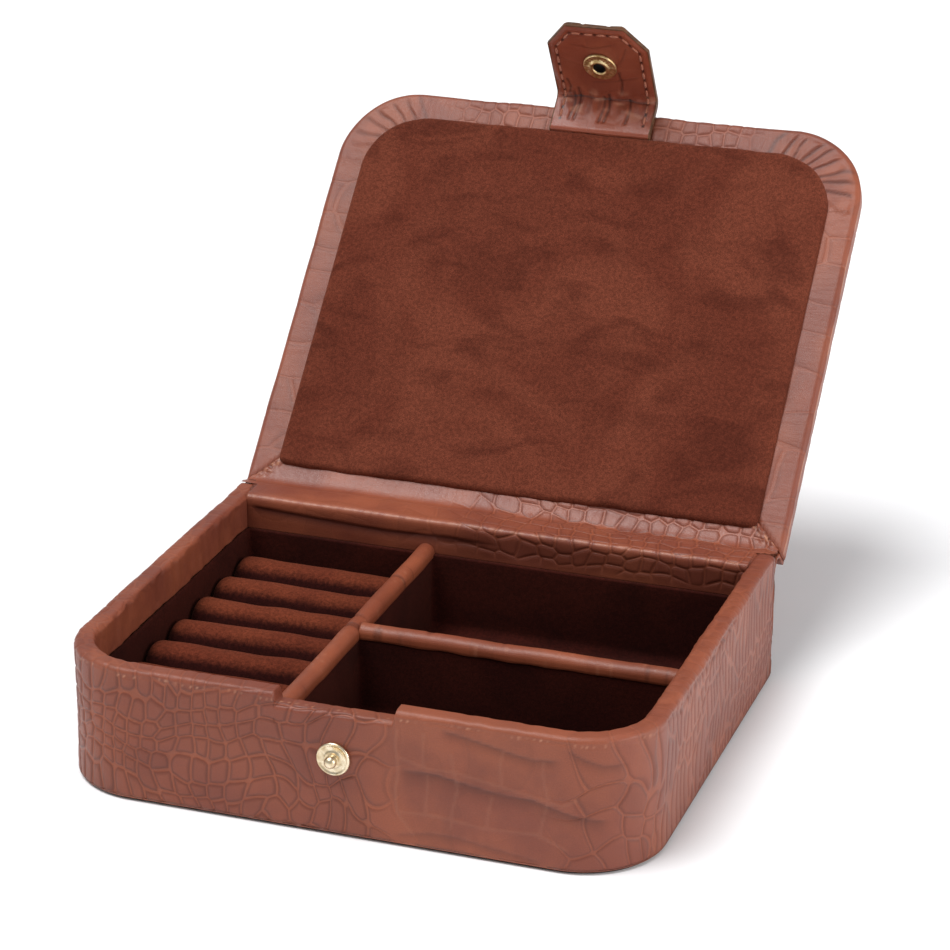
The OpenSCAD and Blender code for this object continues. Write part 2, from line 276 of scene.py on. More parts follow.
croc_hide = hide_finish("croc_hide", srgb(121, 61, 44), srgb(143, 76, 51),
                        srgb(76, 34, 25))
hinge_hide = hide_finish("hinge_hide", srgb(124, 63, 46), srgb(148, 80, 55),
                         srgb(70, 30, 22), gloss=0.36, coat=0.14)
tab_hide = hide_finish("tab_hide", srgb(122, 56, 38), srgb(142, 72, 50),
                       srgb(56, 22, 15), gloss=0.33, coat=0.22, grain_depth=0.06)

# %% [markdown]
# Suede has no gloss. It is a short nap that scatters light at its edges, so it gets sheen, a
# fine two-size speckle, and broad patches where the nap has been brushed the other way.

# %% Suede
def suede_finish(name, body, brushed, dark, patches=0.48, sheen=0.25, lit=None):
    """lit is (low, high) in mm, for painted light and shade: the suede goes dark below low and
    keeps its colour above high, so a roll's face looks shaded and its top lit.
    """
    suede = Finish(name, Roughness=1.0, Specular_IOR_Level=0.1, Sheen_Weight=sheen,
                   Sheen_Roughness=0.38, Sheen_Tint=srgb(205, 130, 100))
    place = suede.place()
    nap = suede.noise(place, 2.6, 3, 0.7)
    fuzz = suede.noise(place, 0.9, 2, 0.5)
    broad = suede.noise(suede.scaled(place, (0.018, 0.018, 0.018)), 1.0, 3, 0.5, 1.1)
    strokes = suede.noise(suede.scaled(place, (0.04, 0.085, 0.075)), 1.0, 2.5, 0.45, 0.9)
    colour = suede.mix(suede.steps(broad, 0.38, 0.62), body, brushed)
    marks = suede.times(suede.steps(strokes, 0.5, 0.7), patches)
    colour = suede.mix(marks, colour, dark)
    # painted shade: lower down the colour goes to dark, and the top keeps its lit colour
    if lit:
        height = suede.add("ShaderNodeSeparateXYZ", {"Vector": place}).outputs["Z"]
        uneven = suede.sums("ADD", height, suede.times(fuzz, 1.2))
        colour = suede.mix(suede.steps(uneven, lit[0], lit[1], 1.0, 0.0), colour, dark)
    light = suede.times(suede.steps(nap, 0.3, 0.7, 0.72, 1.3),
                        suede.steps(fuzz, 0.3, 0.7, 0.84, 1.16))
    return suede.finish(suede.shaded(colour, light), nap, 0.25 * MM, 0.8)


panel_suede = suede_finish("panel_suede", srgb(92, 43, 30), srgb(104, 52, 37),
                           srgb(66, 27, 18))
# partly its own dark colour and partly painted shade: made far darker than the panel's suede, to
# stand in for the shade of the deep bays
bay_suede = suede_finish("bay_suede", srgb(46, 14, 10), srgb(56, 19, 13), srgb(32, 8, 6),
                         patches=0.35, sheen=0.1)
# painted shade: the rolls' faces dark below 22.4 mm, their tops lit above 25 mm
roll_suede = suede_finish("roll_suede", srgb(96, 43, 28), srgb(106, 50, 32), srgb(42, 12, 9),
                          patches=0.1, sheen=0.12, lit=(22.4, 25.0))

# %% [markdown]
# The inner boards, card, wadding and cloth never show while the case is whole, but each has its
# own finish: pressed board with fibres, card, felted wadding and a dark woven base cloth. The
# snap's brass is a little dull and pitted, and the tab's cut edge is painted.

# %% Board, card, wadding, cloth and thread
def fibre_finish(name, light, dark, stretch, depth, rough=0.85):
    fibre = Finish(name, Roughness=rough, Specular_IOR_Level=0.25)
    place = fibre.place()
    strands = fibre.noise(fibre.scaled(place, stretch), 1.0, 5, 0.65, 0.8)
    specks = fibre.noise(place, 1.4, 4, 0.7)
    colour = fibre.mix(fibre.steps(strands, 0.35, 0.65), light, dark)
    colour = fibre.mix(fibre.steps(specks, 0.6, 0.75, 0.0, 0.5), colour, dark)
    return fibre.finish(colour, fibre.sums("ADD", strands, specks), depth * MM, 0.7)


grey_board = fibre_finish("grey_board", srgb(186, 158, 118), srgb(150, 122, 88),
                          (0.3, 1.1, 0.8), 0.1)
spine_card = fibre_finish("spine_card", srgb(150, 128, 98), srgb(116, 96, 72),
                          (0.2, 0.9, 0.9), 0.06)
felt_wadding = fibre_finish("felt_wadding", srgb(224, 214, 196), srgb(196, 184, 164),
                            (0.5, 0.5, 0.5), 0.4, 1.0)


def woven_finish(name, thread_colour, gap_colour, pitch):
    cloth = Finish(name, Roughness=0.92, Specular_IOR_Level=0.2, Sheen_Weight=0.15)
    place = cloth.place(1000 / pitch)
    weave = cloth.times(*(cloth.add("ShaderNodeTexWave", {"Vector": place, "Scale": 0.5},
                                    bands_direction=way).outputs["Fac"] for way in "XY"))
    fuzz = cloth.times(cloth.noise(place, 1.5, 3), 0.4)
    colour = cloth.mix(cloth.steps(cloth.sums("ADD", weave, fuzz), 0.15, 0.7), gap_colour,
                       thread_colour)
    return cloth.finish(colour, weave, 0.15 * MM, 0.8)


base_cloth = woven_finish("base_cloth", srgb(48, 32, 28), srgb(26, 16, 14), 0.6)
tab_thread = woven_finish("tab_thread", srgb(206, 132, 104), srgb(150, 86, 64), 0.18)


def brass_finish(name, bright, dull, rough):
    brass = Finish(name, Metallic=1.0)
    place = brass.place()
    smears = brass.noise(place, 0.5, 4, 0.6)
    pits = brass.noise(place, 5.0, 3, 0.7)
    colour = brass.mix(brass.steps(smears, 0.35, 0.68), bright, dull)
    colour = brass.mix(brass.steps(pits, 0.62, 0.75, 0.0, 0.35), colour, dull)
    return brass.finish(colour, pits, 0.02 * MM, 0.5,
                        brass.steps(smears, 0.3, 0.7, rough - 0.07, rough + 0.1))


socket_brass = brass_finish("socket_brass", srgb(232, 208, 158), srgb(176, 140, 90), 0.36)
pale_brass = brass_finish("pale_brass", srgb(240, 226, 198), srgb(208, 186, 148), 0.3)
# painted shade: a dark finish for the socket's bore, standing in for the shade in the hole
painted_bore_shade = fibre_finish("painted_bore_shade", srgb(34, 22, 16), srgb(20, 12, 9), (0.5, 0.5, 0.5),
                         0.02, 0.5)
edge_paint = fibre_finish("edge_paint", srgb(104, 68, 44), srgb(78, 50, 32),
                          (0.3, 0.3, 0.3), 0.05, 0.45)
dark_edge = fibre_finish("dark_edge", srgb(66, 34, 26), srgb(44, 20, 16), (0.3, 0.3, 0.3),
                         0.05, 0.6)
print("finishes:", len(bpy.data.materials))

# %% [markdown]
# ## Fitting leather and suede
# Thin leather drawn over boards is a sheet that follows a known section along a known path. A
# grid is added and its vertices are laid on that path, row by row, so that the flat leather's
# own coordinates come along as layers for the pattern. Pressing, merging and closing are then
# done with modifiers and edit-mode operators, as on any other mesh.

# %% Grid fitted to a shape
def deselect():
    bpy.ops.object.select_all(action="DESELECT")


def make_active(piece):
    deselect()
    piece.select_set(True)
    bpy.context.view_layer.objects.active = piece


def fitted(name, points, closed=False, **layers):
    """A grid with its vertices at points[row, column], in mm, and its values by layer. A closed
    grid has its first row again at the end, so that its section closes."""
    if closed:
        points = np.concatenate([points, points[:1]])
        layers = {layer: np.concatenate([part, part[:1]]) for layer, part in layers.items()}
    rows, columns = points.shape[:2]
    deselect()
    bpy.ops.mesh.primitive_grid_add(x_subdivisions=columns - 1, y_subdivisions=rows - 1,
                                    size=1)
    piece = bpy.context.object
    piece.name = piece.data.name = name
    mesh = piece.data
    start = np.empty(len(mesh.vertices) * 3)
    mesh.vertices.foreach_get("co", start)
    start = start.reshape(-1, 3) + 0.5
    column = np.rint(start[:, 0] * (columns - 1)).astype(int)
    row = np.rint(start[:, 1] * (rows - 1)).astype(int)
    mesh.vertices.foreach_set("co", (points[row, column] * MM).ravel())
    for layer, values in layers.items():
        flat = values.ndim == 3
        data = mesh.attributes.new(layer, "FLOAT_VECTOR" if flat else "FLOAT", "POINT").data
        data.foreach_set("vector" if flat else "value", values[row, column].ravel())
    mesh.update()
    return piece


def sealed(piece, merge=0.0005):
    """Merges meeting rows, closes open ends and turns the faces outward."""
    make_active(piece)
    bpy.ops.object.mode_set(mode="EDIT")
    bpy.ops.mesh.select_mode(type="VERT")
    bpy.ops.mesh.select_all(action="SELECT")
    bpy.ops.mesh.remove_doubles(threshold=merge * MM)
    bpy.ops.mesh.dissolve_degenerate(threshold=merge * MM)
    bpy.ops.mesh.select_all(action="DESELECT")
    bpy.ops.mesh.select_non_manifold()
    bpy.ops.mesh.fill_holes(sides=0)
    bpy.ops.mesh.select_all(action="SELECT")
    bpy.ops.mesh.normals_make_consistent(inside=False)
    bpy.ops.object.mode_set(mode="OBJECT")
    bpy.ops.object.shade_smooth()
    return piece


def finished(piece, material):
    piece.data.materials.clear()
    piece.data.materials.append(material)


def second_finish(piece, material, where):
    """Gives the faces that where picks out another finish."""
    piece.data.materials.append(material)
    piece.data.polygons.foreach_set("material_index", np.array(where, np.int32))


def dressed(piece, material, slot, *nodes, body=None):
    """Gives a piece its finish, hides the nodes it stands for and hangs it on a body, if one is
    given. The slot is not used.
    """
    finished(piece, material)
    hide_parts(*nodes)
    if body:
        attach(piece, body)
    count = sum(len(face.vertices) - 2 for face in piece.data.polygons)
    print(f"{piece.name}: {count} triangles")
    return piece


def box_mm(node):
    """The low and high corners of a CAD node, in mm."""
    return (np.array(corner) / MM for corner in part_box(node))


# %% Uneven hand work, folds and creases
def ripple(seed, length, *axes, waves=9):
    """Smooth, repeatable unevenness between about -1 and 1, with waves near this length."""
    draw = np.random.default_rng(seed)
    total = 0
    for _ in range(waves):
        heading = draw.normal(size=len(axes))
        heading /= np.linalg.norm(heading)
        turn = 2 * np.pi / (length * draw.uniform(0.7, 1.6))
        total = total + np.sin(sum(h * axis for h, axis in zip(heading, axes)) * turn
                               + draw.uniform(0, 2 * np.pi))
    return total / waves ** 0.5


def smooth(value, low, high):
    share = np.clip((value - low) / (high - low), 0, 1)
    return share * share * (3 - 2 * share)


def near_line(u, v, line, reach):
    """1 on a broken line, falling smoothly to 0 at this reach from it."""
    gap = np.full(np.broadcast(u, v).shape, np.inf)
    for (u0, v0), (u1, v1) in zip(line, line[1:]):
        du, dv = u1 - u0, v1 - v0
        share = np.clip(((u - u0) * du + (v - v0) * dv) / (du * du + dv * dv), 0, 1)
        gap = np.minimum(gap, np.hypot(u - u0 - share * du, v - v0 - share * dv))
    return smooth(gap, reach, 0)


def fold_under(u, v, line, span):
    """A step under a line that fades downward over a span, as under a heavy scale's edge."""
    along, height = zip(*line)
    below = np.interp(u, along, height) - v
    ends = smooth(u, along[0] - 1, along[0] + 3) * smooth(u, along[-1] + 1, along[-1] - 4)
    return smooth(below, 0, 0.7) * np.clip(1 - below / span, 0, 1) ** 1.6 * ends


def along_path(u, half, back, front, radius):
    """Points and outward directions on a U: left side, front and right side, round corners."""
    side, arc = back - front - radius, radius * np.pi / 2
    u1, u2 = side + arc, side + arc + 2 * (half - radius)
    left, right_turn = np.pi + (u - side) / radius, 1.5 * np.pi + (u - u2) / radius
    parts = [u < side, u < u1, u < u2, u < u2 + arc]
    nx = np.select(parts, [-1 + 0 * u, np.cos(left), 0 * u, np.cos(right_turn)], 1)
    ny = np.select(parts, [0 * u, np.sin(left), -1 + 0 * u, np.sin(right_turn)], 0)
    cx, cy = half - radius, front + radius
    x = np.select(parts, [-half + 0 * u, -cx + radius * nx, u - u1 - cx, cx + radius * nx],
                  half)
    y = np.select(parts, [back - u, cy + radius * ny, front + 0 * u, cy + radius * ny],
                  cy + (u - u2 - arc))
    return x, y, nx, ny


def outline_knots(half, back, front, radius):
    """Where along such a U its left side, corners, front and right side begin and end."""
    side, arc = back - front - radius, radius * np.pi / 2
    return np.cumsum([0, side, arc, 2 * (half - radius), arc, side])


def quarter(radius, edge_inset, edge_height, sign=1, parts=8):
    """Levels of a round edge, from a face to the outline. The sign is -1 for a hollow one."""
    turns = np.linspace(0, np.pi / 2, parts)[1:]
    return [(1, edge_inset + radius * (1 - np.sin(t)), edge_height - sign * radius * (
        1 - np.cos(t))) for t in turns]


def cells_along(u, places, widths):
    """How many scales lie between the start and u, for scale widths given at some places."""
    fine = np.linspace(u.min(), u.max(), 4000)
    count = np.concatenate(([0], np.cumsum(np.diff(fine) / np.interp(
        (fine[1:] + fine[:-1]) / 2, places, widths))))
    return np.interp(u, fine, count)


# %% Pressing the scales into a mesh
def press_tool(depth):
    """Geometry nodes that sink the lines between scales, by the layers hide, cell, press."""
    tool = bpy.data.node_groups.new("press_scales", "GeometryNodeTree")
    for way in ("INPUT", "OUTPUT"):
        tool.interface.new_socket("Geometry", in_out=way, socket_type="NodeSocketGeometry")

    def add(kind, inputs=(), **settings):
        node = tool.nodes.new(kind)
        for key, value in settings.items():
            setattr(node, key, value)
        for socket, value in dict(inputs).items():
            if isinstance(value, bpy.types.NodeSocket):
                tool.links.new(value, node.inputs[socket])
            else:
                node.inputs[socket].default_value = value
        return node

    def layer(name, kind="FLOAT"):
        return add("GeometryNodeInputNamedAttribute", {"Name": name},
                   data_type=kind).outputs["Attribute"]

    edge, near = (add("ShaderNodeTexVoronoi", {
        "Vector": layer("hide", "FLOAT_VECTOR"), "Scale": 1.0, "Randomness": SCALE_EVENNESS},
        voronoi_dimensions="2D", feature=feature).outputs["Distance"]
        for feature in ("DISTANCE_TO_EDGE", "F1"))
    rounded = add("ShaderNodeMath", {0: SCALE_ROUND, 1: near}, operation="SUBTRACT").outputs[0]
    edge = add("ShaderNodeMath", {0: edge, 1: rounded}, operation="MINIMUM").outputs[0]
    reach = add("ShaderNodeMath", {0: edge, 1: layer("cell")}, operation="MULTIPLY").outputs[0]
    sunk = add("ShaderNodeMapRange", {
        "Value": reach, "From Min": 0.1, "From Max": 0.95, "To Min": -depth * MM,
        "To Max": 0.0}, interpolation_type="SMOOTHSTEP").outputs["Result"]
    sunk = add("ShaderNodeMath", {0: sunk, 1: layer("press")}, operation="MULTIPLY").outputs[0]
    shift = add("ShaderNodeVectorMath", {
        "Vector": add("GeometryNodeInputNormal").outputs["Normal"], "Scale": sunk},
        operation="SCALE").outputs["Vector"]
    moved = add("GeometryNodeSetPosition", {
        "Geometry": add("NodeGroupInput").outputs["Geometry"], "Offset": shift})
    add("NodeGroupOutput", {"Geometry": moved.outputs["Geometry"]})
    return tool


press_scales = press_tool(0.36)


def pressed(piece):
    make_active(piece)
    piece.modifiers.new("press", "NODES").node_group = press_scales
    bpy.ops.object.modifier_apply(modifier="press")
    return piece


# %% [markdown]
# ## The floor
# A wide pale sheet that the case stands on. It isn't part of the case.

# %% Floor
bpy.ops.mesh.primitive_plane_add(size=12, location=(0, 2, 0))
floor = bpy.context.object
floor.name = "studio_floor"
paper = Finish("studio_paper", Roughness=0.9, Specular_IOR_Level=0.1)
paper_tone = paper.noise(paper.place(40), 1.0, 3)
floor.data.materials.append(paper.finish(paper.mix(
    paper_tone, srgb(246, 246, 247), srgb(250, 250, 251))))

# %% [markdown]
# ## Tray wall leather
# One strip of hide goes round the front and sides: up the outside, over the padded rim and down
# inside. Its section is drawn once, with its thickness, and swept along the tray's outline.
# The scales are small at the left, grow towards the snap, open into broad plates with heavy
# folds right of it, and turn to tall narrow slats on the right side. The notch for the tab
# drops the rim by a few millimetres over two short steps.

# %% Wall leather: section and path
low, high = box_mm("wall_leather")
TRAY_HALF, TRAY_FRONT, TRAY_BACK = high[0], low[1], high[1]
WALL_LOW, RIM_TOP = low[2], high[2]
CORNER, RIM_WIDTH = 25.0, 6.4
TURN_DOWN = 11.5                               # from the rim down the inside
SKIN = 1.2                                     # how thick the leather is
NOTCH = (-19.0, 17.0, 3.6)                     # left step, right step and depth
CREASE_AT = 41.4                               # the crease under the rim, up the leather

wall_knots = outline_knots(TRAY_HALF, TRAY_BACK, TRAY_FRONT, CORNER)
wall_run = wall_knots[-1]
X_TO_U = wall_knots[2] + TRAY_HALF - CORNER    # u of the middle of the front


def wall_columns():
    steps = np.concatenate([X_TO_U + x + np.linspace(-1.6, 1.6, 15) for x in NOTCH[:2]])
    even = np.linspace(0, wall_run, 690)
    clear = np.all([abs(even - X_TO_U - x) > 1.9 for x in NOTCH[:2]], axis=0)
    return np.sort(np.concatenate([even[clear], steps]))


def wall_section(top, outer=1.9, inner=1.7, foot=0.8):
    """Section from the foot, up, over the rim, down inside and back along the hidden side."""
    turn = np.linspace(0, np.pi / 2, 8)[1:]
    rise = np.linspace(0, 1, 64)
    under = turn[::2][::-1]
    parts = [(foot * (1 - np.sin(under)), WALL_LOW + foot * (1 - np.cos(under))),
             (0 * rise, WALL_LOW + foot + rise * (top - outer - WALL_LOW - foot)),
             (outer * (1 - np.cos(turn)), top - outer + outer * np.sin(turn))]
    flat = np.linspace(outer, RIM_WIDTH - inner, 7)[1:]
    parts.append((flat, top + 0 * flat))
    parts.append((RIM_WIDTH - inner + inner * np.sin(turn), top - inner * (1 - np.cos(turn))))
    drop = np.linspace(0, 1, 20)[1:]
    edge = RIM_TOP - TURN_DOWN
    parts.append((RIM_WIDTH + 0 * drop, top - inner + drop * (edge - top + inner)))
    hidden = [(RIM_WIDTH - 0.5, edge - 0.25), (RIM_WIDTH - SKIN, edge),
              (RIM_WIDTH - SKIN, top - 5), (RIM_WIDTH - 2 * SKIN, top - SKIN),
              (2 * SKIN, top - SKIN), (SKIN, top - 3), (SKIN, top - 20), (SKIN, WALL_LOW),
              (foot, WALL_LOW)]
    parts.append(tuple(np.array(side) for side in zip(*hidden)))
    inward, height = (np.concatenate([part[i] for part in parts]) for i in (0, 1))
    return inward, height, len(inward) - len(hidden)


# %% Wall leather: relief and pattern
u = wall_columns()
x_of_u = u - X_TO_U
notch_steps = (smooth(x_of_u, NOTCH[0] - 0.5, NOTCH[0] + 0.5)
               * smooth(x_of_u, NOTCH[1] + 0.5, NOTCH[1] - 0.5))
tops = RIM_TOP - NOTCH[2] * notch_steps
sections = [wall_section(top) for top in tops]
shown = sections[0][2]
inward = np.array([s[0] for s in sections]).T
height = np.array([s[1] for s in sections]).T
stretch = np.hypot(np.diff(inward, axis=0), np.diff(height, axis=0))
v = np.vstack([np.zeros_like(u), np.cumsum(stretch, axis=0)]) + WALL_LOW
uu = np.broadcast_to(u, v.shape)
row_index = np.arange(len(v))[:, None]
face = row_index < shown                       # rows that show

places = (0, 118, 160, 190, 232, 240, 246, 286, 292, 300, 322, 334, 390, wall_run)
widths = (6.2, 5.0, 4.7, 5.4, 7.4, 8.5, 19, 19, 14, 11, 4.8, 4.2, 3.8, 3.4)
heights = (6.6, 6.0, 5.8, 6.0, 7.8, 9, 13.5, 13.5, 15, 16, 14, 12, 10, 9)
cell_w = np.interp(uu, places, widths)
cell_h = np.interp(uu, places, heights)
sway = 0.5 * ripple(3, 38, uu, v) + 0.25 * ripple(4, 17, uu, v)
lean = 0.35 * ripple(5, 30, uu, v)
hide = np.dstack([cells_along(uu, places, widths) + lean,
                  (v - 21) / cell_h + sway, 0 * v])

over_rim = smooth(v, RIM_TOP - 3, RIM_TOP + 1.5)
inside_wall = smooth(v, RIM_TOP + RIM_WIDTH - 1, RIM_TOP + RIM_WIDTH + 2)
slats = smooth(uu, 322, 334)
press = np.interp(uu, (0, 150, 232, 243, 286, 294, 330, wall_run),
                  (0.9, 1.0, 1.0, 0.08, 0.08, 0.7, 0.75, 0.85))
press = press * (1 - 0.62 * over_rim) * (1 - 0.7 * inside_wall)
press = press * smooth(v, WALL_LOW, WALL_LOW + 3) * face

plate_folds = [([(19, 25.8), (29.5, 26.3), (46, 23.6), (58, 23.1), (65.4, 21.2), (73, 19.4),
                 (80, 18.5)], 6.5, 1.0),
               ([(31, 40.3), (40.7, 38.6), (51.9, 36.4), (57.8, 35.6), (66, 36.6)], 4.5, 0.9),
               ([(67.5, 40.2), (72.5, 37.6), (77.6, 35.7), (85, 35.4)], 4.5, 0.9),
               ([(17, 5.4), (27.3, 7.6), (36.5, 7.8), (46.3, 6.2), (61.3, 4.4)], 4, 0.6)]
folds = sum(amount * fold_under(x_of_u, v, line, span) for line, span, amount in plate_folds)
plate_lines = [[(17.8, 38), (18.4, 30), (17.2, 20), (18.6, 12), (23, 6)],
               [(18.4, 29.5), (27, 27.4), (36, 27.6), (50, 25.2), (66, 22.4), (70, 24.6)],
               [(25.8, 38), (26.4, 32), (26, 28)], [(34.8, 33), (35.4, 22), (34.4, 10)],
               [(49.3, 36), (48.8, 25.8)], [(61.4, 35), (61.8, 24), (60.6, 12)],
               [(18.6, 12.5), (30, 13.2), (44, 11.8), (60, 12.4), (68, 9)],
               [(45.6, 21.5), (45.2, 12.4)], [(26.5, 25), (27, 13.4)]]
marked = sum(near_line(x_of_u + 0.5 * ripple(17, 16, v), v, line, 1.0) for line in plate_lines)
marked = np.clip(marked, 0, 1) * smooth(v, 3, 6) * smooth(v, 40, 38.5)
rim_crease = near_line(uu, v + 0.35 * ripple(8, 22, uu),
                       [(0, CREASE_AT), (wall_run, CREASE_AT)], 0.55)
# painted highlight: glints in dots along the rim's crease
painted_glints = smooth(ripple(9, 1.7, uu, waves=5), 0.1, 1.0) * smooth(ripple(18, 14, uu), -0.8, 0.4)
side_wave = near_line(uu, v, [(318, 39.5), (330, 41.8), (340, 38.6), (352, 41), (372, 40.4),
                              (400, 42)], 1.6) * slats
inner_wrinkles = inside_wall * (0.22 * ripple(6, 9, uu, v * 0.25)
                                + 0.1 * ripple(7, 3.5, uu, v * 0.2))
soft_wave = 0.16 * ripple(2, 34, uu, v) * smooth(v, 3, 9)

relief = 0.5 * folds + 0.35 * side_wave + face * (
    soft_wave + inner_wrinkles - 0.12 * marked + 0.22 * smooth(rim_crease, 0.2, 1)
    - 0.125 * over_rim * ripple(10, 5.5, uu, v * 0.3))
# painted shade under the plates' folds, in the side's crease wave, on the plates' lines and on
# the inner turn-in
tone = np.clip(0.66 * folds + 0.02 * marked + 0.3 * side_wave + 0.06 * inside_wall, 0, 1) * face
# painted highlight: the dotted glints on the rim's crease, and the plates' lines lit like ridges
worn = np.clip(rim_crease * painted_glints * 0.65 * (1 - 0.7 * slats)
               + 0.06 * smooth(marked, 0.2, 0.9), 0, 1) * face

path_x, path_y, nx, ny = along_path(u, TRAY_HALF, TRAY_BACK, TRAY_FRONT, CORNER)
# on the rim and inside, unevenness goes down or outward, so the leather stays on its board
turned = smooth(v, RIM_TOP - 0.5, RIM_TOP + 1)
depth_in = inward + relief * (1 - turned)
depth_in = np.where(inside_wall > 0.5, inward + np.minimum(relief, 0.4), depth_in)
drop_in = height - np.clip(relief, 0, 1) * turned * (1 - inside_wall)
points = np.dstack([path_x - nx * depth_in, path_y - ny * depth_in, drop_in])

# %% Wall leather: the piece
wall = fitted("wall_leather_hide", points, closed=True, hide=hide, press=press, tone=tone,
              mm=np.dstack([uu, v, 0 * v]), cell=np.minimum(cell_w, cell_h) + 0 * v, worn=worn)
pressed(sealed(wall))
dressed(wall, croc_hide, "croc_leather", "wall_leather", body="tray")

# %% [markdown]
# ## Hinge leather
# The hinge is one strip of leather with no metal in it. It starts inside the back wall, rolls
# over the back rim, dips in a soft valley and runs up the lid's lower border until it goes under
# the suede panel. Because it belongs to the tray at one end and to the lid at the other, it is
# one mesh, drawn with the lid open. The spine leather does the same on the outside.

# %% Drawing on the closed lid, and opening it
joints = {j["name"]: j for j in frame["record"]["behaviour"]["joints"]}
HINGE = tuple(1000 * c for c in joints["lid_hinge"]["pos_m"][1:])
LID_OPEN = joints["lid_hinge"]["range_deg"][1]
print("hinge axis at y, z", HINGE, "opens by", LID_OPEN)


def turned(points, degrees, about):
    """Points turned about a line along X through (y, z)."""
    c, s = math.cos(math.radians(degrees)), math.sin(math.radians(degrees))
    y, z = points[..., 1] - about[0], points[..., 2] - about[1]
    return np.stack([points[..., 0], about[0] + y * c - z * s, about[1] + y * s + z * c], -1)


def opened(points):
    return turned(points, -LID_OPEN, HINGE)


def open_yz(y, z):
    """A point of the closed lid's section, at its open place."""
    return tuple(opened(np.array([0.0, y, z]))[1:])


def soft_line(keys, pitch, rounds=3):
    """A line through key points with its corners rounded, resampled at an even pitch."""
    line = np.array(keys, float)
    for _ in range(rounds):
        quarter, rest = line[:-1] * 0.75 + line[1:] * 0.25, line[:-1] * 0.25 + line[1:] * 0.75
        line = np.vstack([line[:1], np.stack([quarter, rest], 1).reshape(-1, 2), line[-1:]])
    run = np.concatenate(([0], np.cumsum(np.hypot(*np.diff(line, axis=0).T))))
    even = np.linspace(0, run[-1], int(run[-1] / pitch) + 1)
    return np.stack([np.interp(even, run, line[:, i]) for i in (0, 1)], 1), even


def strip_section(keys, thick, pitch=0.5):
    """Both sides of a strip whose shown side follows the keys, with the hidden side last."""
    line, run = soft_line(keys, pitch)
    slope = np.gradient(line, axis=0)
    slope /= np.hypot(*slope.T)[:, None]
    normal = np.stack([slope[:, 1], -slope[:, 0]], 1)
    picked = np.arange(len(line) - 1, -1, -4)
    hidden = line[picked] + normal[picked] * thick
    return (np.vstack([line, hidden]), np.vstack([-normal, normal[picked]]),
            np.concatenate([run, run[picked]]), len(line))


def strip_grid(run, shown, half, columns):
    """x across a strip, the run along it, and which rows show, for every point."""
    x = np.linspace(-1, 1, columns)[None, :] * (half + 0 * run)[:, None]
    return x, run[:, None] + 0 * x, (np.arange(len(run)) < shown)[:, None]


def strip_piece(name, line, facing, x, relief, **layers):
    """A strip with its relief, pressed and closed."""
    points = np.dstack([x] + [line[:, i:i + 1] + facing[:, i:i + 1] * relief for i in (0, 1)])
    return pressed(sealed(fitted(name, points, closed=True, **layers)))


# %% Hinge leather
LID_INNER = 42.8                               # z of the closed lid's border
LID_BACK = 76.75                               # y of the closed lid's hinge edge
BACK_WALL = 62.75                              # y where the hinge leather starts, inside
edge_z = RIM_TOP - TURN_DOWN
border_line = [open_yz(LID_BACK - s, LID_INNER - 0.25) for s in (2.5, 8, 15.5)]
strip_keys = [(BACK_WALL, edge_z), (BACK_WALL, 36), (BACK_WALL - 0.1, 39.5),
              (BACK_WALL + 0.1, 41.6), (BACK_WALL + 1.9, 42.35), (BACK_WALL + 4.5, 42.0),
              (70.5, 42.15), (74.5, 42.1), (77.0, 41.2), (78.6, 41.1)] + border_line
# strips are drawn with the hidden side to the right of their run
line, facing, run, shown = strip_section(strip_keys, SKIN)
half = np.where(line[:, 0] < TRAY_BACK + 0.3, TRAY_HALF - RIM_WIDTH - 0.15,
                89.4 - 14.6 * np.clip((line[:, 0] - 79) / 11.2, 0, 1))
x, rr, front_side = strip_grid(run, shown, half, 341)
strip_places, strip_widths = (-90, -30, -5, 20, 90), (14, 11, 7, 5.6, 5.2)
cell = np.interp(x, strip_places, strip_widths)
hide = np.dstack([cells_along(x, strip_places, strip_widths) + 0.2 * ripple(21, 25, x, rr),
                  rr / np.maximum(cell * 0.86, 4.6) + 0.2 * ripple(22, 20, x, rr), 0 * x])
press = 0.1 + 0.62 * smooth(x + 6 * ripple(23, 30, x, rr), -38, 12)
press = press * front_side * smooth(rr, 1, 4)
roll_fold = fold_under(x, rr, [(-82, 8.4), (-60, 7.2), (-35, 6.4), (-15, 6.9), (10, 6.6)], 4.2)
roll_fold = roll_fold * smooth(x, 6, -12)
panel_run = run[shown - 1] - 5.2
crinkle = near_line(x, rr, [(-76, panel_run), (-20, panel_run + 0.8), (20, panel_run)], 2.2)
crinkle = crinkle * (0.5 + 0.5 * ripple(24, 2.6, x, rr * 0.3)) * smooth(x, 18, -10)
mitre = smooth(abs(x) / half[:, None], 0.935, 0.985) * smooth(line[:, :1], 79, 81)
roll_at = np.interp(BACK_WALL + 0.6, line[:shown, 0], run[:shown])
roll_shine = near_line(x, rr, [(-83, roll_at), (83, roll_at)], 1.0)
roll_shine = roll_shine * smooth(ripple(25, 5, x, waves=5), -0.6, 0.6)
relief = 0.14 * ripple(26, 26, x, rr) - 0.55 * roll_fold + 0.3 * crinkle
relief = (relief + 0.35 * mitre * ripple(27, 2.4, x, rr)) * front_side * smooth(rr, 0, 4)
# painted shade: the inner back wall below the roll, the fold under the roll and the mitres'
# creases are darkened
below_roll = smooth(rr, roll_at - 0.5, roll_at - 4)
tone = np.clip(0.9 * roll_fold + 0.42 * below_roll
               + 0.35 * mitre * smooth(ripple(28, 3, x, rr), 0.2, 1), 0, 1)
# painted highlight: a shine along the roll, glints on the mitres and on the crinkles by the
# panel
worn = np.clip(0.25 * roll_shine + 0.7 * mitre * smooth(ripple(29, 2.2, x, rr), 0.4, 1.1)
               + 0.4 * crinkle * smooth(ripple(30, 1.8, x, rr), 0.4, 1), 0, 1) * front_side

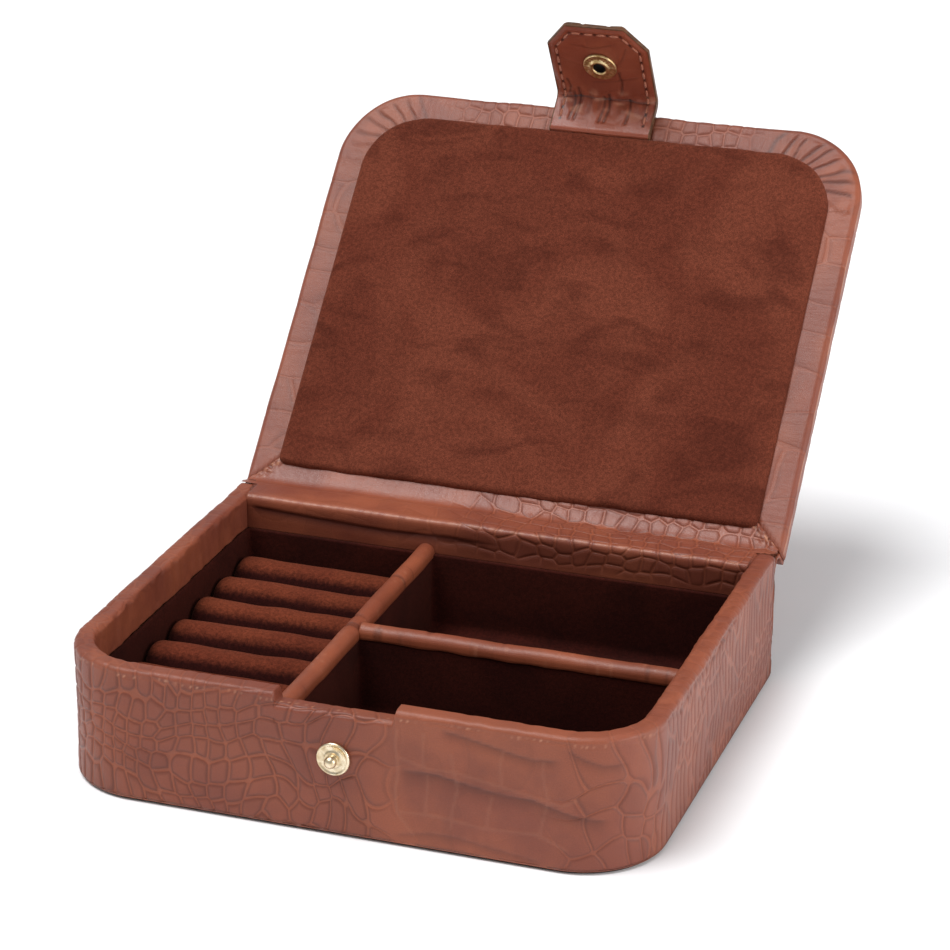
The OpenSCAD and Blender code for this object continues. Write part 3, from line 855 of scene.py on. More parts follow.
hinge = strip_piece("hinge_leather", line, facing, x, relief, hide=hide, cell=cell, press=press,
                    mm=np.dstack([x, rr, 0 * x]), tone=tone, worn=worn)
dressed(hinge, hinge_hide, "hinge_leather", "hinge_leather_tray", "hinge_leather_lid")
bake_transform(hinge)

# %% Spine leather
edge_face = [open_yz(LID_BACK + 1.2, z) for z in (44.5, 49.5)]
corner = [open_yz(LID_BACK + 1.1, 51.2), open_yz(LID_BACK - 0.6, 51.25),
          open_yz(LID_BACK - 2.4, 50.95)]
spine_keys = [(74.45, 1.2), (74.5, 8), (74.55, 18), (74.45, 33), (74.5, 37.2), (76.0, 39.1),
              (78.1, 39.2)] + edge_face + corner
line, facing, run, shown = strip_section(spine_keys[::-1], SKIN, 0.6)
SPINE_HALF = TRAY_HALF - 0.3
x, rr, front_side = strip_grid(run, shown, SPINE_HALF, 281)
cell = 7.5 + 2.5 * np.cos(x / 26)
hide = np.dstack([x / 9.5 + 0.35 * ripple(31, 30, x, rr), rr / 8 + 0.35 * ripple(32, 26, x, rr),
                  0 * x])
relief = 0.12 * ripple(33, 30, x, rr) * front_side
press = 0.9 * front_side * smooth(rr, 1, 5) * smooth(run[shown - 1] - rr, 0, 3)
spine = strip_piece("spine_leather_hide", line, facing, x, relief, hide=hide, cell=cell,
                    press=press, mm=np.dstack([x, rr, 0 * x]), tone=0 * x, worn=0 * x)
dressed(spine, croc_hide, "croc_leather", "spine_leather")
second_finish(spine, dark_edge, [
    abs(face.center.x) > (SPINE_HALF - 0.04) * MM for face in spine.data.polygons])
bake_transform(spine)

# %% [markdown]
# ## Lid cover
# The lid is a board with wadding, wrapped in one skin whose edges are turned in to a border.
# The mesh is a set of U-shaped rings: they start at the middle of the hinge edge, spread over
# the outside, go round the edge and come in on the inside. On the two round corners the skin has
# too much length, so it is laid in pleats, each a shallow ramp that ends in a step.

# %% Lid cover: rings
LID_HALF, LID_FRONT, LID_CORNER = 90.6, -72.25, 25.6
LID_OUTER = 50.8
OUT_ROUND, IN_ROUND = 3.0, 1.8
OUTER_RINGS = 94                               # rings of the outer face, the last at its edge
BORDER = 16                                    # how far the skin is turned in


def ring_levels():
    """Share of the outline, inset and height of every ring, from outside middle to inside."""
    spread = np.linspace(0, 1, OUTER_RINGS) ** 0.9
    levels = [(s, OUT_ROUND, LID_OUTER + 0.9 * (1 - s ** 4)) for s in spread]
    levels += quarter(OUT_ROUND, 0, LID_OUTER, parts=9)
    turn = np.linspace(0, np.pi / 2, 9)[1:]
    low_z = LID_INNER + IN_ROUND
    levels += [(1, 0, z) for z in np.linspace(LID_OUTER - OUT_ROUND, low_z, 7)[1:]]
    levels += [(1, IN_ROUND * (1 - np.cos(a)), low_z - IN_ROUND * np.sin(a)) for a in turn]
    levels += [(1, d, LID_INNER) for d in np.linspace(IN_ROUND, BORDER, 34)[1:]]
    levels += [(s, BORDER, LID_INNER + 0.5) for s in (0.97, 0.8, 0.6, 0.4, 0.2, 0)]
    return np.array(levels)


levels = ring_levels()
last = len(levels) - 1
step_x, step_y = np.meshgrid(np.arange(-last, last + 1), np.arange(0, last + 1))
ring = np.maximum(abs(step_x), step_y)
share, inset, height = (levels[ring, i] for i in range(3))
reach = np.maximum(ring, 1)
on_front = step_y == ring
part = np.where(on_front, step_x / reach, step_y / reach)
part = part * np.where(on_front, 1.3 - 0.3 * abs(part), 1.6 - 0.6 * abs(part))  # fine at corners

radius = LID_CORNER - inset
side_run = LID_BACK - (LID_FRONT + inset) - radius
arc_half = radius * np.pi / 4
front_half = LID_HALF - inset - radius
run = np.where(on_front, side_run + 2 * arc_half + front_half + part * (front_half + arc_half),
               np.where(step_x < 0, part * (side_run + arc_half),
                        2 * (side_run + 2 * arc_half + front_half)
                        - part * (side_run + arc_half)))
# the path's corner is met at the same angle on every ring, so scale the run to the outline
knots_full = outline_knots(LID_HALF, LID_BACK, LID_FRONT, LID_CORNER)
s = np.empty_like(run)
for value in np.unique(inset):
    rows = inset == value
    knots = outline_knots(LID_HALF - value, LID_BACK, LID_FRONT + value, LID_CORNER - value)
    s[rows] = np.interp(run[rows], knots, knots_full)
edge_x, edge_y, nx, ny = along_path(s, LID_HALF, LID_BACK, LID_FRONT, LID_CORNER)
x = share * (edge_x - nx * inset)
y = LID_BACK + share * (edge_y - ny * inset - LID_BACK)

# %% Lid cover: pleats, creases and pattern
profile = np.concatenate(([0], np.cumsum(np.hypot(np.diff(levels[:, 1]), np.diff(
    levels[:, 2]))) * (levels[1:, 0] == 1)))
profile = profile - profile[OUTER_RINGS - 1]
length = np.clip(profile, 0, None)[ring]         # from the outer face's edge, round to inside
inner = smooth(length, 5.5, 8.5)                 # 1 on the border
corner_middle = (knots_full[1] + knots_full[2]) / 2, (knots_full[3] + knots_full[4]) / 2
pleat_places = (np.array([-19, -13.5, -7.5, -1.5, 4.5, 10.5, 17.5]),
                np.array([-25, -20, -15.4, -9.6, -5, 0.5, 6.2, 11, 17.2, 24]))
pleats, pleat_shade = 0 * s, 0 * s
for middle, places, way, strong in zip(corner_middle, pleat_places, (-1, 1), (0.75, 1.0)):
    local = way * (s - middle) + (length - 12) * 0.45 + 0.5 * ripple(48, 9, length, s)
    for number, (start, end) in enumerate(zip(places, places[1:])):
        ramp = (local - start) / (end - start)
        within = (ramp >= 0) & (ramp < 1)
        reach_in = smooth(length, 7.5 + 1.7 * (number % 3), 12.5 + 1.5 * (number % 2))
        rise = np.clip(ramp, 0, 1) ** 1.4 * smooth(ramp, 1, 0.78)
        pleats = pleats + within * rise * reach_in * 0.62 * strong
        # painted shade at the step of each pleat
        pleat_shade = pleat_shade + np.exp(-((local - start) / 0.8) ** 2) * reach_in * strong
side_part = np.maximum(smooth(s, knots_full[1] + 2, knots_full[1] - 8),
                       smooth(s, knots_full[4] - 2, knots_full[4] + 8))
front_part = smooth(s, knots_full[2] - 6, knots_full[2] + 4) * smooth(
    s, knots_full[3] + 6, knots_full[3] - 4)
border_places = np.concatenate((knots_full[[0, 1]], knots_full[[1, 2, 3, 4]] + (6, 0, 0, -6),
                                knots_full[[4, 5]]))
border_widths = (14, 12, 8, 4.8, 4.8, 8, 12, 14)
border_cell = np.interp(s, border_places, border_widths)
edge_ridge = near_line(s, length, [(0, 8.2), (s.max(), 8.2)], 0.9)
hide_border = np.dstack([cells_along(s, border_places, border_widths) + 0.1 * ripple(
    41, 20, s, length), (length + 1.5) / np.where(side_part > 0.5, 34, 5.4) + 0.08 * ripple(
        42, 20, s, length), 0 * s])
hide_outer = np.dstack([x / 12 + 0.3 * ripple(43, 40, x, y), y / 9.5 + 0.35 * ripple(
    44, 40, x, y), 0 * s])
on_border = length > 5.2
hide = np.where(on_border[..., None], hide_border, hide_outer)
cell = np.where(on_border, np.minimum(border_cell, 5.4 + 6 * side_part), 9.5)
flat_outer = share < 1                           # the outer face and the hidden middle
outer_face = flat_outer & (ring < OUTER_RINGS)
press = np.where(on_border, inner * (
    0.6 * front_part * smooth(abs(x), 62, 40) + 0.4 * side_part), 0.95)
press = press * (1 - 0.8 * smooth(length, 2.5, 4.6) * (1 - inner)) * ~flat_outer
press = press + 0.95 * outer_face
under_strip = inner * smooth(LID_BACK - y, 17.5, 15.5) * smooth(
    abs(x) - (89.0 - (LID_BACK - y) * 14.6 / 16), 0.4, -0.4)
relief = 0.16 * ripple(45, 30, s, length) * inner + pleats + 0.18 * edge_ridge
relief = relief + 0.25 * ripple(46, 45, x, y) * outer_face
relief = relief * smooth(LID_BACK - y, 0.5, 6) - 1.0 * under_strip
# painted shade: a dark line at the step of each pleat
tone = np.clip(0.8 * pleat_shade, 0, 1) * inner
# painted highlight: glints along the border's edge ridge on the sides, and the pleats' tops lit
worn = np.clip(0.55 * smooth(edge_ridge, 0.45, 1) * side_part * smooth(
    ripple(47, 16, s, waves=6), -0.7, 0.3) + 0.3 * smooth(pleats, 0.5, 0.62), 0, 1)
slope = np.gradient(levels[:, 1]), np.gradient(levels[:, 2])
face_z, face_out = (g[ring] / np.maximum(np.hypot(*slope), 1e-6)[ring] for g in slope)
push_x = np.where(flat_outer, 0, -nx * face_out)
push_y = np.where(flat_outer, 0, -ny * face_out)
push_z = np.where(flat_outer, outer_face, -face_z)
points = opened(np.dstack([x + push_x * relief, y + push_y * relief, height + push_z * relief]))

cover = fitted("lid_cover", points, hide=hide, mm=np.dstack([s + 0 * x, length + y * (
    ~on_border), 0 * s]), cell=cell, press=press * (ring < last - 6), tone=tone, worn=worn)
pressed(sealed(cover))
dressed(cover, croc_hide, "croc_leather", "lid_leather", body="lid")

# %% [markdown]
# ## Padded suede: the lid's panel
# The panel is suede over thin wadding, glued on the lid's border. Its edge is round and its face
# swells a little. It is built as square rings whose outer ones follow a rectangle with round
# corners, so the round edge gets many fine rings and the flat middle needs few.

# %% A pad from rings
def ringed(levels, box, corners):
    """Points of a closed pad. levels are (share, inset, height); corners are the radii of the
    corners front left, front right, back right and back left."""
    count = len(levels) - 1
    steps = np.arange(-count, count + 1)
    step_x, step_y = np.meshgrid(steps, steps)
    ring = np.maximum(abs(step_x), abs(step_y))
    share, inset, height = (np.array(levels)[ring, i] for i in range(3))
    a, b = step_x / np.maximum(ring, 1), step_y / np.maximum(ring, 1)
    x0, x1, y0, y1 = box
    middle, size = ((x0 + x1) / 2, (y0 + y1) / 2), ((x1 - x0) / 2, (y1 - y0) / 2)
    radius = np.where(b < 0, np.where(a < 0, corners[0], corners[1]),
                      np.where(a > 0, corners[2], corners[3]))
    r = np.maximum(radius - inset, 0.05)
    half = [s - inset for s in size]

    def side(share_along, along):
        run = abs(share_along) * (along - r + r * np.pi / 4)
        turn = np.clip((run - along + r) / r, 0, np.pi / 4)
        return np.minimum(run, along - r) + r * np.sin(turn), r * (1 - np.cos(turn))

    on_x = abs(a) >= abs(b)
    up, in_x = side(b, half[1])
    over, in_y = side(a, half[0])
    x = np.sign(a) * np.where(on_x, half[0] - in_x, over)
    y = np.sign(b) * np.where(on_x, up, half[1] - in_y)
    return np.dstack([middle[0] + share * x, middle[1] + share * y, height]), ring


# %% Lid panel
PANEL = (-81.0, 81.0, -62.45, 70.25)           # in the closed lid
PANEL_TOP = 2.1
levels = [(s, 2.0, PANEL_TOP + 0.5 * (1 - s ** 3)) for s in np.linspace(0, 1, 76) ** 0.85]
levels += quarter(2.0, 0, PANEL_TOP)
levels += [(1, 0.1, -0.15), (1, 0.6, -0.45), (0.97, 0.6, -0.5), (0.6, 0.6, -0.5),
           (0, 0.6, -0.5)]
pad, _ = ringed(levels, PANEL, (21, 21, 3.2, 3.2))
x, y, up = (pad[..., i] for i in range(3))
swell = (up > 0) * smooth(up, 0.2, 1.6)
unrest = 0.16 * ripple(51, 42, x, y) + 0.07 * ripple(52, 13, x, y)
edge_pull = 0.14 * ripple(53, 16, x, y) * (levels[0][2] - up > 0.6) * (up > -0.4)
pad = np.dstack([x, y + edge_pull, LID_INNER - up - unrest * swell])
panel = sealed(fitted("lid_panel_suede", opened(pad)))
dressed(panel, panel_suede, "panel_suede", "lid_panel", body="lid")
border_normal = opened(np.array([0, 0, -1.0])) - opened(np.zeros(3))
panel_anchor = opened(np.array([0, 0, LID_INNER]))
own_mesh(panel)

# %% [markdown]
# ## Suede bays
# Each bay is a tray of suede-covered card. The suede turns softly from the floor to the walls
# and over the top edge, which sits just under the turned-in leather.

# %% Bay linings
LINER_TOP, FLOOR_TOP, LINER = 31.0, 5.7, 1.25


def bay(name, node, corners, lip=0.55, cove=2.6):
    low, high = box_mm(node)
    levels = [(s, LINER + cove, FLOOR_TOP) for s in np.linspace(0, 1, 30)]
    levels += quarter(cove, LINER, FLOOR_TOP, -1, 7)
    turns = np.linspace(0, np.pi / 2, 7)[1:]
    levels += [(1, LINER, z) for z in np.linspace(FLOOR_TOP + cove, LINER_TOP - lip, 16)[1:]]
    levels += [(1, LINER - lip * (1 - np.cos(t)), LINER_TOP - lip * (1 - np.sin(t)))
               for t in turns[::2]]
    levels += [(1, 0.3, LINER_TOP), (1, 0.0, LINER_TOP - 0.3), (1, 0, low[2] + 0.3),
               (1, 0.3, low[2]), (0.5, 0.3, low[2]), (0, 0.3, low[2])]
    points, ring = ringed(levels, (low[0], high[0], low[1], high[1]), corners)
    x, y, z = (points[..., i] for i in range(3))
    soft = (ring > 2) * (z > FLOOR_TOP - 0.1) * (z < LINER_TOP - 1)
    points[..., 2] += 0.22 * ripple(61, 22, x, y) * (z < FLOOR_TOP + 0.5) * (z > low[2] + 1)
    wave = 0.16 * ripple(62, 24, x + y, z) * soft * smooth(z, FLOOR_TOP, FLOOR_TOP + 5)
    points[..., 0] -= np.sign(x - (low[0] + high[0]) / 2) * abs(wave)
    dressed(sealed(fitted(name, points)), bay_suede, "bay_suede", node, body="tray")


bay("ring_bay_suede", "ring_bay_liner", (18.6, 1.6, 1.6, 1.6))
bay("rear_bay_suede", "rear_bay_liner", (1.6, 1.6, 1.6, 1.6))
bay("front_bay_suede", "front_bay_liner", (1.6, 18.6, 1.6, 1.6))

# %% [markdown]
# ## Ring rolls
# Seven foam rolls lie across the left bay, each in one piece of suede. Rings are pushed into the
# slots between them. The rolls narrow to a foot, their ends are round, and no two are quite
# straight.

# %% Ring rolls
ROLL_RADIUS, ROLL_CENTRE, ROLL_FOOT = 7.9, 16.8, 6.3
ROLL_COUNT = 7
BAY_REACH = 64.5                               # y of the bay's front and back walls


def ring_roll(number):
    node = f"ring_roll_{number}"
    low, high = box_mm(node)
    last = number == ROLL_COUNT                    # it is cut to the bay's round corner
    middle_y = high[1] - ROLL_RADIUS if last else (low[1] + high[1]) / 2
    arc = np.radians(np.linspace(-38, 218, 54))
    section = [(ROLL_RADIUS * np.cos(a), ROLL_CENTRE + ROLL_RADIUS * np.sin(a)) for a in arc]
    section += [(-ROLL_FOOT, 9.5), (-ROLL_FOOT, 6.8), (-ROLL_FOOT + 0.6, low[2]), (0, low[2]),
                (ROLL_FOOT - 0.6, low[2]), (ROLL_FOOT, 6.8), (ROLL_FOOT, 9.5)]
    across, upward = np.array(section + section[:1]).T
    round_left, round_right = 3.4, 1.4
    turns = np.linspace(0, np.pi / 2, 9)
    start = low[0] + (0.9 if last else 0.4)
    places = np.concatenate([start + round_left * (1 - np.cos(turns)), np.linspace(
        start + round_left, high[0] - round_right, 60)[1:], high[0] - round_right
        + round_right * np.sin(turns[1:])])
    full = np.concatenate([np.sin(turns), np.ones(59), np.cos(turns[1:])])
    inset = np.concatenate([round_left * (1 - np.sin(turns)), np.zeros(59),
                            round_right * (1 - np.cos(turns[1:]))])
    middle_z = 12.0
    tip = np.where(full < 0.02, 0.02, 1)           # the ends close in a small ring
    size_y, size_z = ((1 - inset / reach * 0.95) * tip for reach in (
        ROLL_RADIUS, ROLL_CENTRE + ROLL_RADIUS - middle_z))
    x = places[None, :] + 0 * across[:, None]
    bend = 0.3 * ripple(70 + number, 46, places)[None, :]
    y = middle_y + across[:, None] * size_y + bend
    z = middle_z + (upward[:, None] - middle_z) * size_z
    lump = 0.13 * ripple(80 + number, 13, x, across[:, None] + 0 * x, z)
    z = np.maximum(z + lump * (upward > ROLL_CENTRE)[:, None], low[2])
    y = np.clip(y, -BAY_REACH, BAY_REACH)
    piece = sealed(fitted(f"{node}_suede", np.dstack([x, y, z])))
    dressed(piece, roll_suede, "roll_suede", node, body="tray")


for number in range(1, ROLL_COUNT + 1):
    ring_roll(number)

# %% [markdown]
# ## Divider caps
# A strip of plain leather is folded over each divider's board, and its long edges go down over
# the suede. Fine creases run across the fold, where the leather was pulled tight.

# %% Divider caps
CAP_PROUD, SKIRT_DROP = 0.35, 1.3              # over the suede at the sides, and down over it


def divider_cap(name, node, along_y, seed):
    low, high = box_mm(node)
    axis = 1 if along_y else 0
    other = 1 - axis
    middle = (low[other] + high[other]) / 2
    half = (high[other] - low[other]) / 2 + CAP_PROUD
    top, shoulder, skirt = high[2], low[2] + 0.3, low[2] - SKIRT_DROP
    arc = np.radians(np.linspace(0, 180, 26))
    section = [(half - 0.1, skirt), (half, skirt + 0.15), (half, shoulder - 0.6)]
    section += [(half * np.cos(a), shoulder + (top - shoulder) * np.sin(a)) for a in arc]
    section += [(-half, shoulder - 0.6), (-half, skirt + 0.15), (-half + 0.1, skirt)]
    shown = len(section)
    section += [(-half + 0.6, skirt), (-half + 0.6, low[2] + 0.6), (half - 0.6, low[2] + 0.6),
                (half - 0.6, skirt)]
    across, upward = np.array(section + section[:1]).T
    along = np.linspace(low[axis], high[axis], int((high[axis] - low[axis]) / 0.42))
    t = along[None, :] + 0 * across[:, None]
    c = across[:, None] + 0 * t
    outer = (np.arange(len(c)) < shown)[:, None]
    crease = smooth(ripple(seed, 5.5, t, c * 0.25), 0.9, 1.6) * outer
    wave = 0.09 * ripple(seed + 1, 24, t) + 0.04 * ripple(seed + 2, 6, t, c * 0.4)
    lift = upward[:, None] + (wave * smooth(upward, shoulder, top)[:, None] - 0.16 * crease)
    lift = lift - 0.16 * ripple(seed + 5, 17, t) * smooth(upward, shoulder, skirt)[:, None]
    centre = middle + 0.1 * ripple(seed + 3, 50, t)
    side = centre + c * (1 - 0.04 * crease)
    flat = [side, t] if along_y else [t, side]
    run = np.cumsum(np.hypot(np.gradient(across), np.gradient(upward)))[:, None] + 0 * t
    # painted shade in the creases and along the skirt's lower edge, and painted glints on the
    # leather
    piece = fitted(name, np.dstack([*flat, lift]), mm=np.dstack([t, run, 0 * t]),
                   hide=np.dstack([t / 9, run / 30, 0 * t]), cell=9 + 0 * t,
                   press=0.1 + 0 * t, tone=0.5 * crease + 0.5 * smooth(
                       upward, skirt + 0.5, skirt)[:, None] * outer,
                   worn=0.12 * smooth(ripple(seed + 4, 3.2, t, c), 1.1, 1.7) * outer)
    dressed(sealed(piece), cap_hide, "plain_leather", node, body="tray")


cap_hide = hide_finish("cap_hide", srgb(128, 64, 42), srgb(144, 76, 50), srgb(72, 32, 20),
                       gloss=0.4, coat=0.1)
divider_cap("long_divider_leather", "long_divider_cap", True, 91)
divider_cap("cross_divider_leather", "cross_divider_cap", False, 101)

# %% [markdown]
# ## Closing tab
# The tab is two leathers sewn back to back. Its root is glued on the lid's border and goes under
# the panel, and past the lid's edge it bends toward the tray. Each leather is a flat section
# swept along the bent line, with its cut edge painted. The corners of the end are cut off by
# narrowing the last sections.

# %% Tab: the bent line
TAB_MIDDLE, TAB_HALF, TAB_LENGTH = -1.0, 17.5, 34.5
TAB_CUT, TAB_CUT_LENGTH = 7.3, 9.6
PIVOT = (-76.45, 41.6)                         # in the closed lid's section
TAB_BEND = -joints["tab_bend"]["range_deg"][0]  # 0 is straight on with the lid
BEND_ROUND = 3.0
EDGE_ROUND = 0.45


def tab_line(pitch=0.5):
    """The line between the leathers, from under the panel to the tab's end, closed lid."""
    bend = math.radians(TAB_BEND)
    out = np.array([-1.0, 0.0])
    hang = np.array([-math.cos(bend), -math.sin(bend)])
    cut = BEND_ROUND * math.tan(bend / 2)
    start, pivot = np.array([-59.6, 42.3]), np.array(PIVOT)
    turn_start, turn_end = pivot - out * cut, pivot + hang * cut
    angles = np.linspace(0, bend, 9)[1:-1]
    centre = turn_start + np.array([0, -BEND_ROUND])
    arc = [centre + BEND_ROUND * np.array([-math.sin(a), math.cos(a)]) for a in angles]
    keys = np.array([start, (-62.8, 42.3), (-63.3, 41.6), turn_start, *arc, turn_end,
                     pivot + hang * TAB_LENGTH])
    run = np.concatenate(([0], np.cumsum(np.hypot(*np.diff(keys, axis=0).T))))
    even = np.linspace(0, run[-1], int(run[-1] / pitch) + 1)
    line = np.stack([np.interp(even, run, keys[:, i]) for i in (0, 1)], 1)
    slope = np.gradient(line, axis=0)
    slope /= np.hypot(*slope.T)[:, None]
    return line, np.stack([-slope[:, 1], slope[:, 0]], 1), even, run[-1]


line, inward_side, run, tab_run = tab_line()
from_end = tab_run - run
half_width = TAB_HALF - TAB_CUT * np.clip(1 - from_end / TAB_CUT_LENGTH, 0, 1)
half_width = half_width - 0.5 * smooth(from_end, 0.8, 0) ** 2
from_fold = run - (tab_run - TAB_LENGTH)


# %% Tab: a stitch line that follows the outline
STITCH_IN, STITCH_PITCH, STITCH_LONG = 3.0, 4.4, 3.3


def stitch_places():
    """Middles and directions of the stitches, as x across and t from the fold."""
    w, end = TAB_HALF - STITCH_IN, TAB_LENGTH - STITCH_IN
    cut_start, cut_x = TAB_LENGTH - TAB_CUT_LENGTH - 0.6, TAB_HALF - TAB_CUT - 1.4
    corners = np.array([(-w, -9.0), (-w, cut_start), (-cut_x, end), (cut_x, end),
                        (w, cut_start), (w, -9.0)])
    found = []
    for a, b in zip(corners, corners[1:]):
        reach = b - a
        count = max(1, round(np.hypot(*reach) / STITCH_PITCH))
        for i in range(count):
            found.append((*(a + reach * (i + 0.5) / count), *(reach / np.hypot(*reach))))
    return corners, np.array(found)


stitch_corners, stitches = stitch_places()


# %% Tab: where the snap sits
def along_axis(origin, out):
    """Turns a shape's own Z to an outward direction in the section, at an origin in mm."""
    z = Vector(out).normalized()
    x = Vector((1, 0, 0))
    return Matrix.Translation(Vector(origin) * MM) @ Matrix(
        (x, z.cross(x), z)).transposed().to_4x4()


def opened_way(way):
    """A direction of the closed lid, as it is when the lid is open."""
    return opened(np.array(way, float)) - opened(np.zeros(3))


tab_heading = opened_way((0, -math.cos(math.radians(TAB_BEND)),
                          -math.sin(math.radians(TAB_BEND))))
lid_heading = opened_way((0, -1, 0))
pivot = opened(np.array([0, *PIVOT]))
stud_z = (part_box("stud")[0][2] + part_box("stud")[1][2]) / 2 / MM
inner_out = np.cross(np.array([1.0, 0, 0]), tab_heading)
snap_place = pivot + tab_heading * (PIVOT[1] - stud_z) + np.array([TAB_MIDDLE, 0, 0])


# %% Tab: one leather
HOLE_RADIUS = 2.95
FACE_COLUMNS, BACK_COLUMNS = 76, 16


def bored(piece):
    """Takes the snap's hole out of a leather, from the inner face to just under the outer."""
    bpy.ops.mesh.primitive_cylinder_add(vertices=48, radius=HOLE_RADIUS * MM, depth=4 * MM)
    drill = bpy.context.object
    drill.data.transform(along_axis(snap_place + inner_out * 1.4, inner_out))
    make_active(piece)
    cut = piece.modifiers.new("snap_hole", "BOOLEAN")
    cut.object = drill
    cut.solver = "EXACT"
    bpy.ops.object.modifier_apply(modifier="snap_hole")
    bpy.data.objects.remove(drill)


def tab_leather(name, side, nodes, seed, material):
    """The leather on the inner (+1) or outer (-1) side of the line between them."""
    turn = np.linspace(0, np.pi / 2, 5)
    faces = np.linspace(-1, 1, FACE_COLUMNS)
    edge_in = EDGE_ROUND * (1 - np.sin(turn))
    edge_up = SKIN - EDGE_ROUND * (1 - np.cos(turn))
    width = half_width[None, :]
    flat = faces[:, None] * (width - EDGE_ROUND)
    right_edge = width - edge_in[1:, None]
    back = np.linspace(1, -1, BACK_COLUMNS)[:, None] * width
    x = np.vstack([flat, right_edge, back, -right_edge[::-1]])
    up = np.concatenate([np.full(FACE_COLUMNS, SKIN), edge_up[1:], np.full(BACK_COLUMNS, 0.02),
                         edge_up[1:][::-1]])
    up = up[:, None] + 0 * x
    t = from_fold[None, :] + 0 * x
    face = (np.arange(len(x)) < FACE_COLUMNS)[:, None]
    fold_zone = smooth(abs(t + 1.5), 9, 2)
    groove = near_line(x, t, [tuple(c) for c in stitch_corners], 0.8) * face
    holes = 0 * x
    for mx, mt, dx, dt in stitches:
        for end in (-0.5, 0.5):
            hole = np.hypot(x - mx - dx * end * STITCH_PITCH, t - mt - dt * end * STITCH_PITCH)
            holes = np.maximum(holes, smooth(hole, 0.75, 0.3))
    standing = [(-11.5, -9, 3), (-9.8, -9, 5), (-1.2, -9, 2), (0.6, -9, 3), (8, -9, 1),
                (5.5, 4, 14), (-13, 2, 9)]
    lines = sum(near_line(x, t, [(a, b), (a + 0.8, (b + c) / 2), (a + 0.2, c)], 0.8)
                for a, b, c in standing)
    level = near_line(x, t + 0.3 * ripple(seed, 9, x), [(-15, 0.6), (15, 0.2)], 1.1)
    slanted = ([(-4, 8.5), (4, 9.6), (12, 12.4)], [(2.5, 14), (7.5, 20), (10, 26)],
               [(-9, 26), (-2, 24.5), (5, 27)])
    slant = sum(near_line(x, t, crease, 0.6) for crease in slanted)
    marks = (lines + level + 0.5 * slant) * (1 if side > 0 else 0.25)
    relief = 0.12 * ripple(seed + 1, 11, x, t) + 0.2 * fold_zone * ripple(
        seed + 2, 3.6, x, t * 0.5) - 0.3 * groove - 0.4 * marks + 0.1 * smooth(groove, 0, 0.3)
    relief = relief * face * smooth(t, -tab_run + TAB_LENGTH, -14)
    thin = 0.4 + 0.6 * smooth(t, -13.4, -12.8)         # pared where the panel covers it
    rim = smooth(np.minimum(width - abs(x), TAB_LENGTH - t), 2.2, 0.2)
    thin = thin * (1 - 0.38 * rim * smooth(t, 0, 3))   # and skived round the end
    offset = side * (up * thin + relief)
    y = line[None, :, 0] + inward_side[None, :, 0] * offset
    z = line[None, :, 1] + inward_side[None, :, 1] * offset
    points = opened(np.dstack([TAB_MIDDLE + x, y, z]))
    # painted shade in the stitch holes and creases, and painted highlight in spots over the fold
    piece = fitted(name, points, closed=True, mm=np.dstack([x, t, 0 * x]), cell=11 + 0 * x,
                   hide=np.dstack([x / 11 + 0.2, t / 13 + 0.4, 0 * x]),
                   press=(0.12 if side > 0 else 0.8) * face * (1 - groove),
                   tone=np.clip(holes + 0.6 * marks, 0, 1) * face,
                   worn=0.34 * face * fold_zone * smooth(ripple(
                       seed + 3, 3.5, x * 0.4, t), 0.3, 1.2))
    bored(pressed(sealed(piece)))
    dressed(piece, material, "tab_leather", *nodes)
    centre = np.array([f.center[:] for f in piece.data.polygons]) / MM
    along = (centre - pivot) @ tab_heading
    limit = np.interp(along, from_fold, half_width) - 0.5
    second_finish(piece, edge_paint, (abs(centre[:, 0] - TAB_MIDDLE) > limit)
                  | (along > TAB_LENGTH - 0.5))
    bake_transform(piece)


tab_leather("tab_inner_hide", 1, ("tab_inner_leather", "tab_root"), 111, tab_hide)
tab_leather("tab_outer_hide", -1, ("tab_outer_leather",), 121, croc_hide)

# %% Tab: stitches
bpy.ops.mesh.primitive_uv_sphere_add(segments=8, ring_count=5, radius=0.5 * MM)
one_stitch = bpy.context.object
bpy.ops.object.mode_set(mode="EDIT")
bpy.ops.mesh.select_all(action="SELECT")
bpy.ops.transform.resize(value=(STITCH_LONG, 0.9, 0.75))
bpy.ops.object.mode_set(mode="OBJECT")

across_x = np.array([1.0, 0, 0])
STEP_AT = 0.8                                  # past the fold, where the tab's stitches begin


def on_fold(t, part):
    """A value of the bent line at a distance from the fold, in the closed lid's section."""
    return np.array([0, *(np.interp(t, from_fold, part[:, i]) for i in (0, 1))])


sewn = []
for side in (1, -1):
    for mx, mt, dx, dt in stitches:
        if mt < STEP_AT and side < 0:
            continue                               # on the root these would be under the tab
        facing = opened_way(on_fold(mt, inward_side)) * side
        middle = opened(on_fold(mt, line)) + across_x * (mx + TAB_MIDDLE)
        heading = np.cross(facing, across_x) * side
        long_way = across_x * dx + heading * dt
        short_way = np.cross(facing, long_way)
        copy = one_stitch.copy()
        copy.data = one_stitch.data.copy()
        bpy.context.collection.objects.link(copy)
        copy.data.transform(Matrix.Translation(Vector((middle + facing * (SKIN - 0.02)) * MM))
                            @ Matrix((long_way, short_way, facing)).transposed().to_4x4())
        sewn.append((copy, mt > STEP_AT))
bpy.data.objects.remove(one_stitch)

for name, on_tab, body in (("tab_stitches", True, "tab"), ("root_stitches", False, "lid")):
    group = [piece for piece, here in sewn if here == on_tab]
    deselect()
    for piece in group:
        piece.select_set(True)
    bpy.context.view_layer.objects.active = group[0]
    bpy.ops.object.join()
    joined = bpy.context.object
    joined.name = joined.data.name = name
    bpy.ops.object.shade_smooth()
    dressed(joined, tab_thread, "thread", *(("tab_stitching",) if on_tab else ()), body=body)
    print(name, "stitches:", len(group))

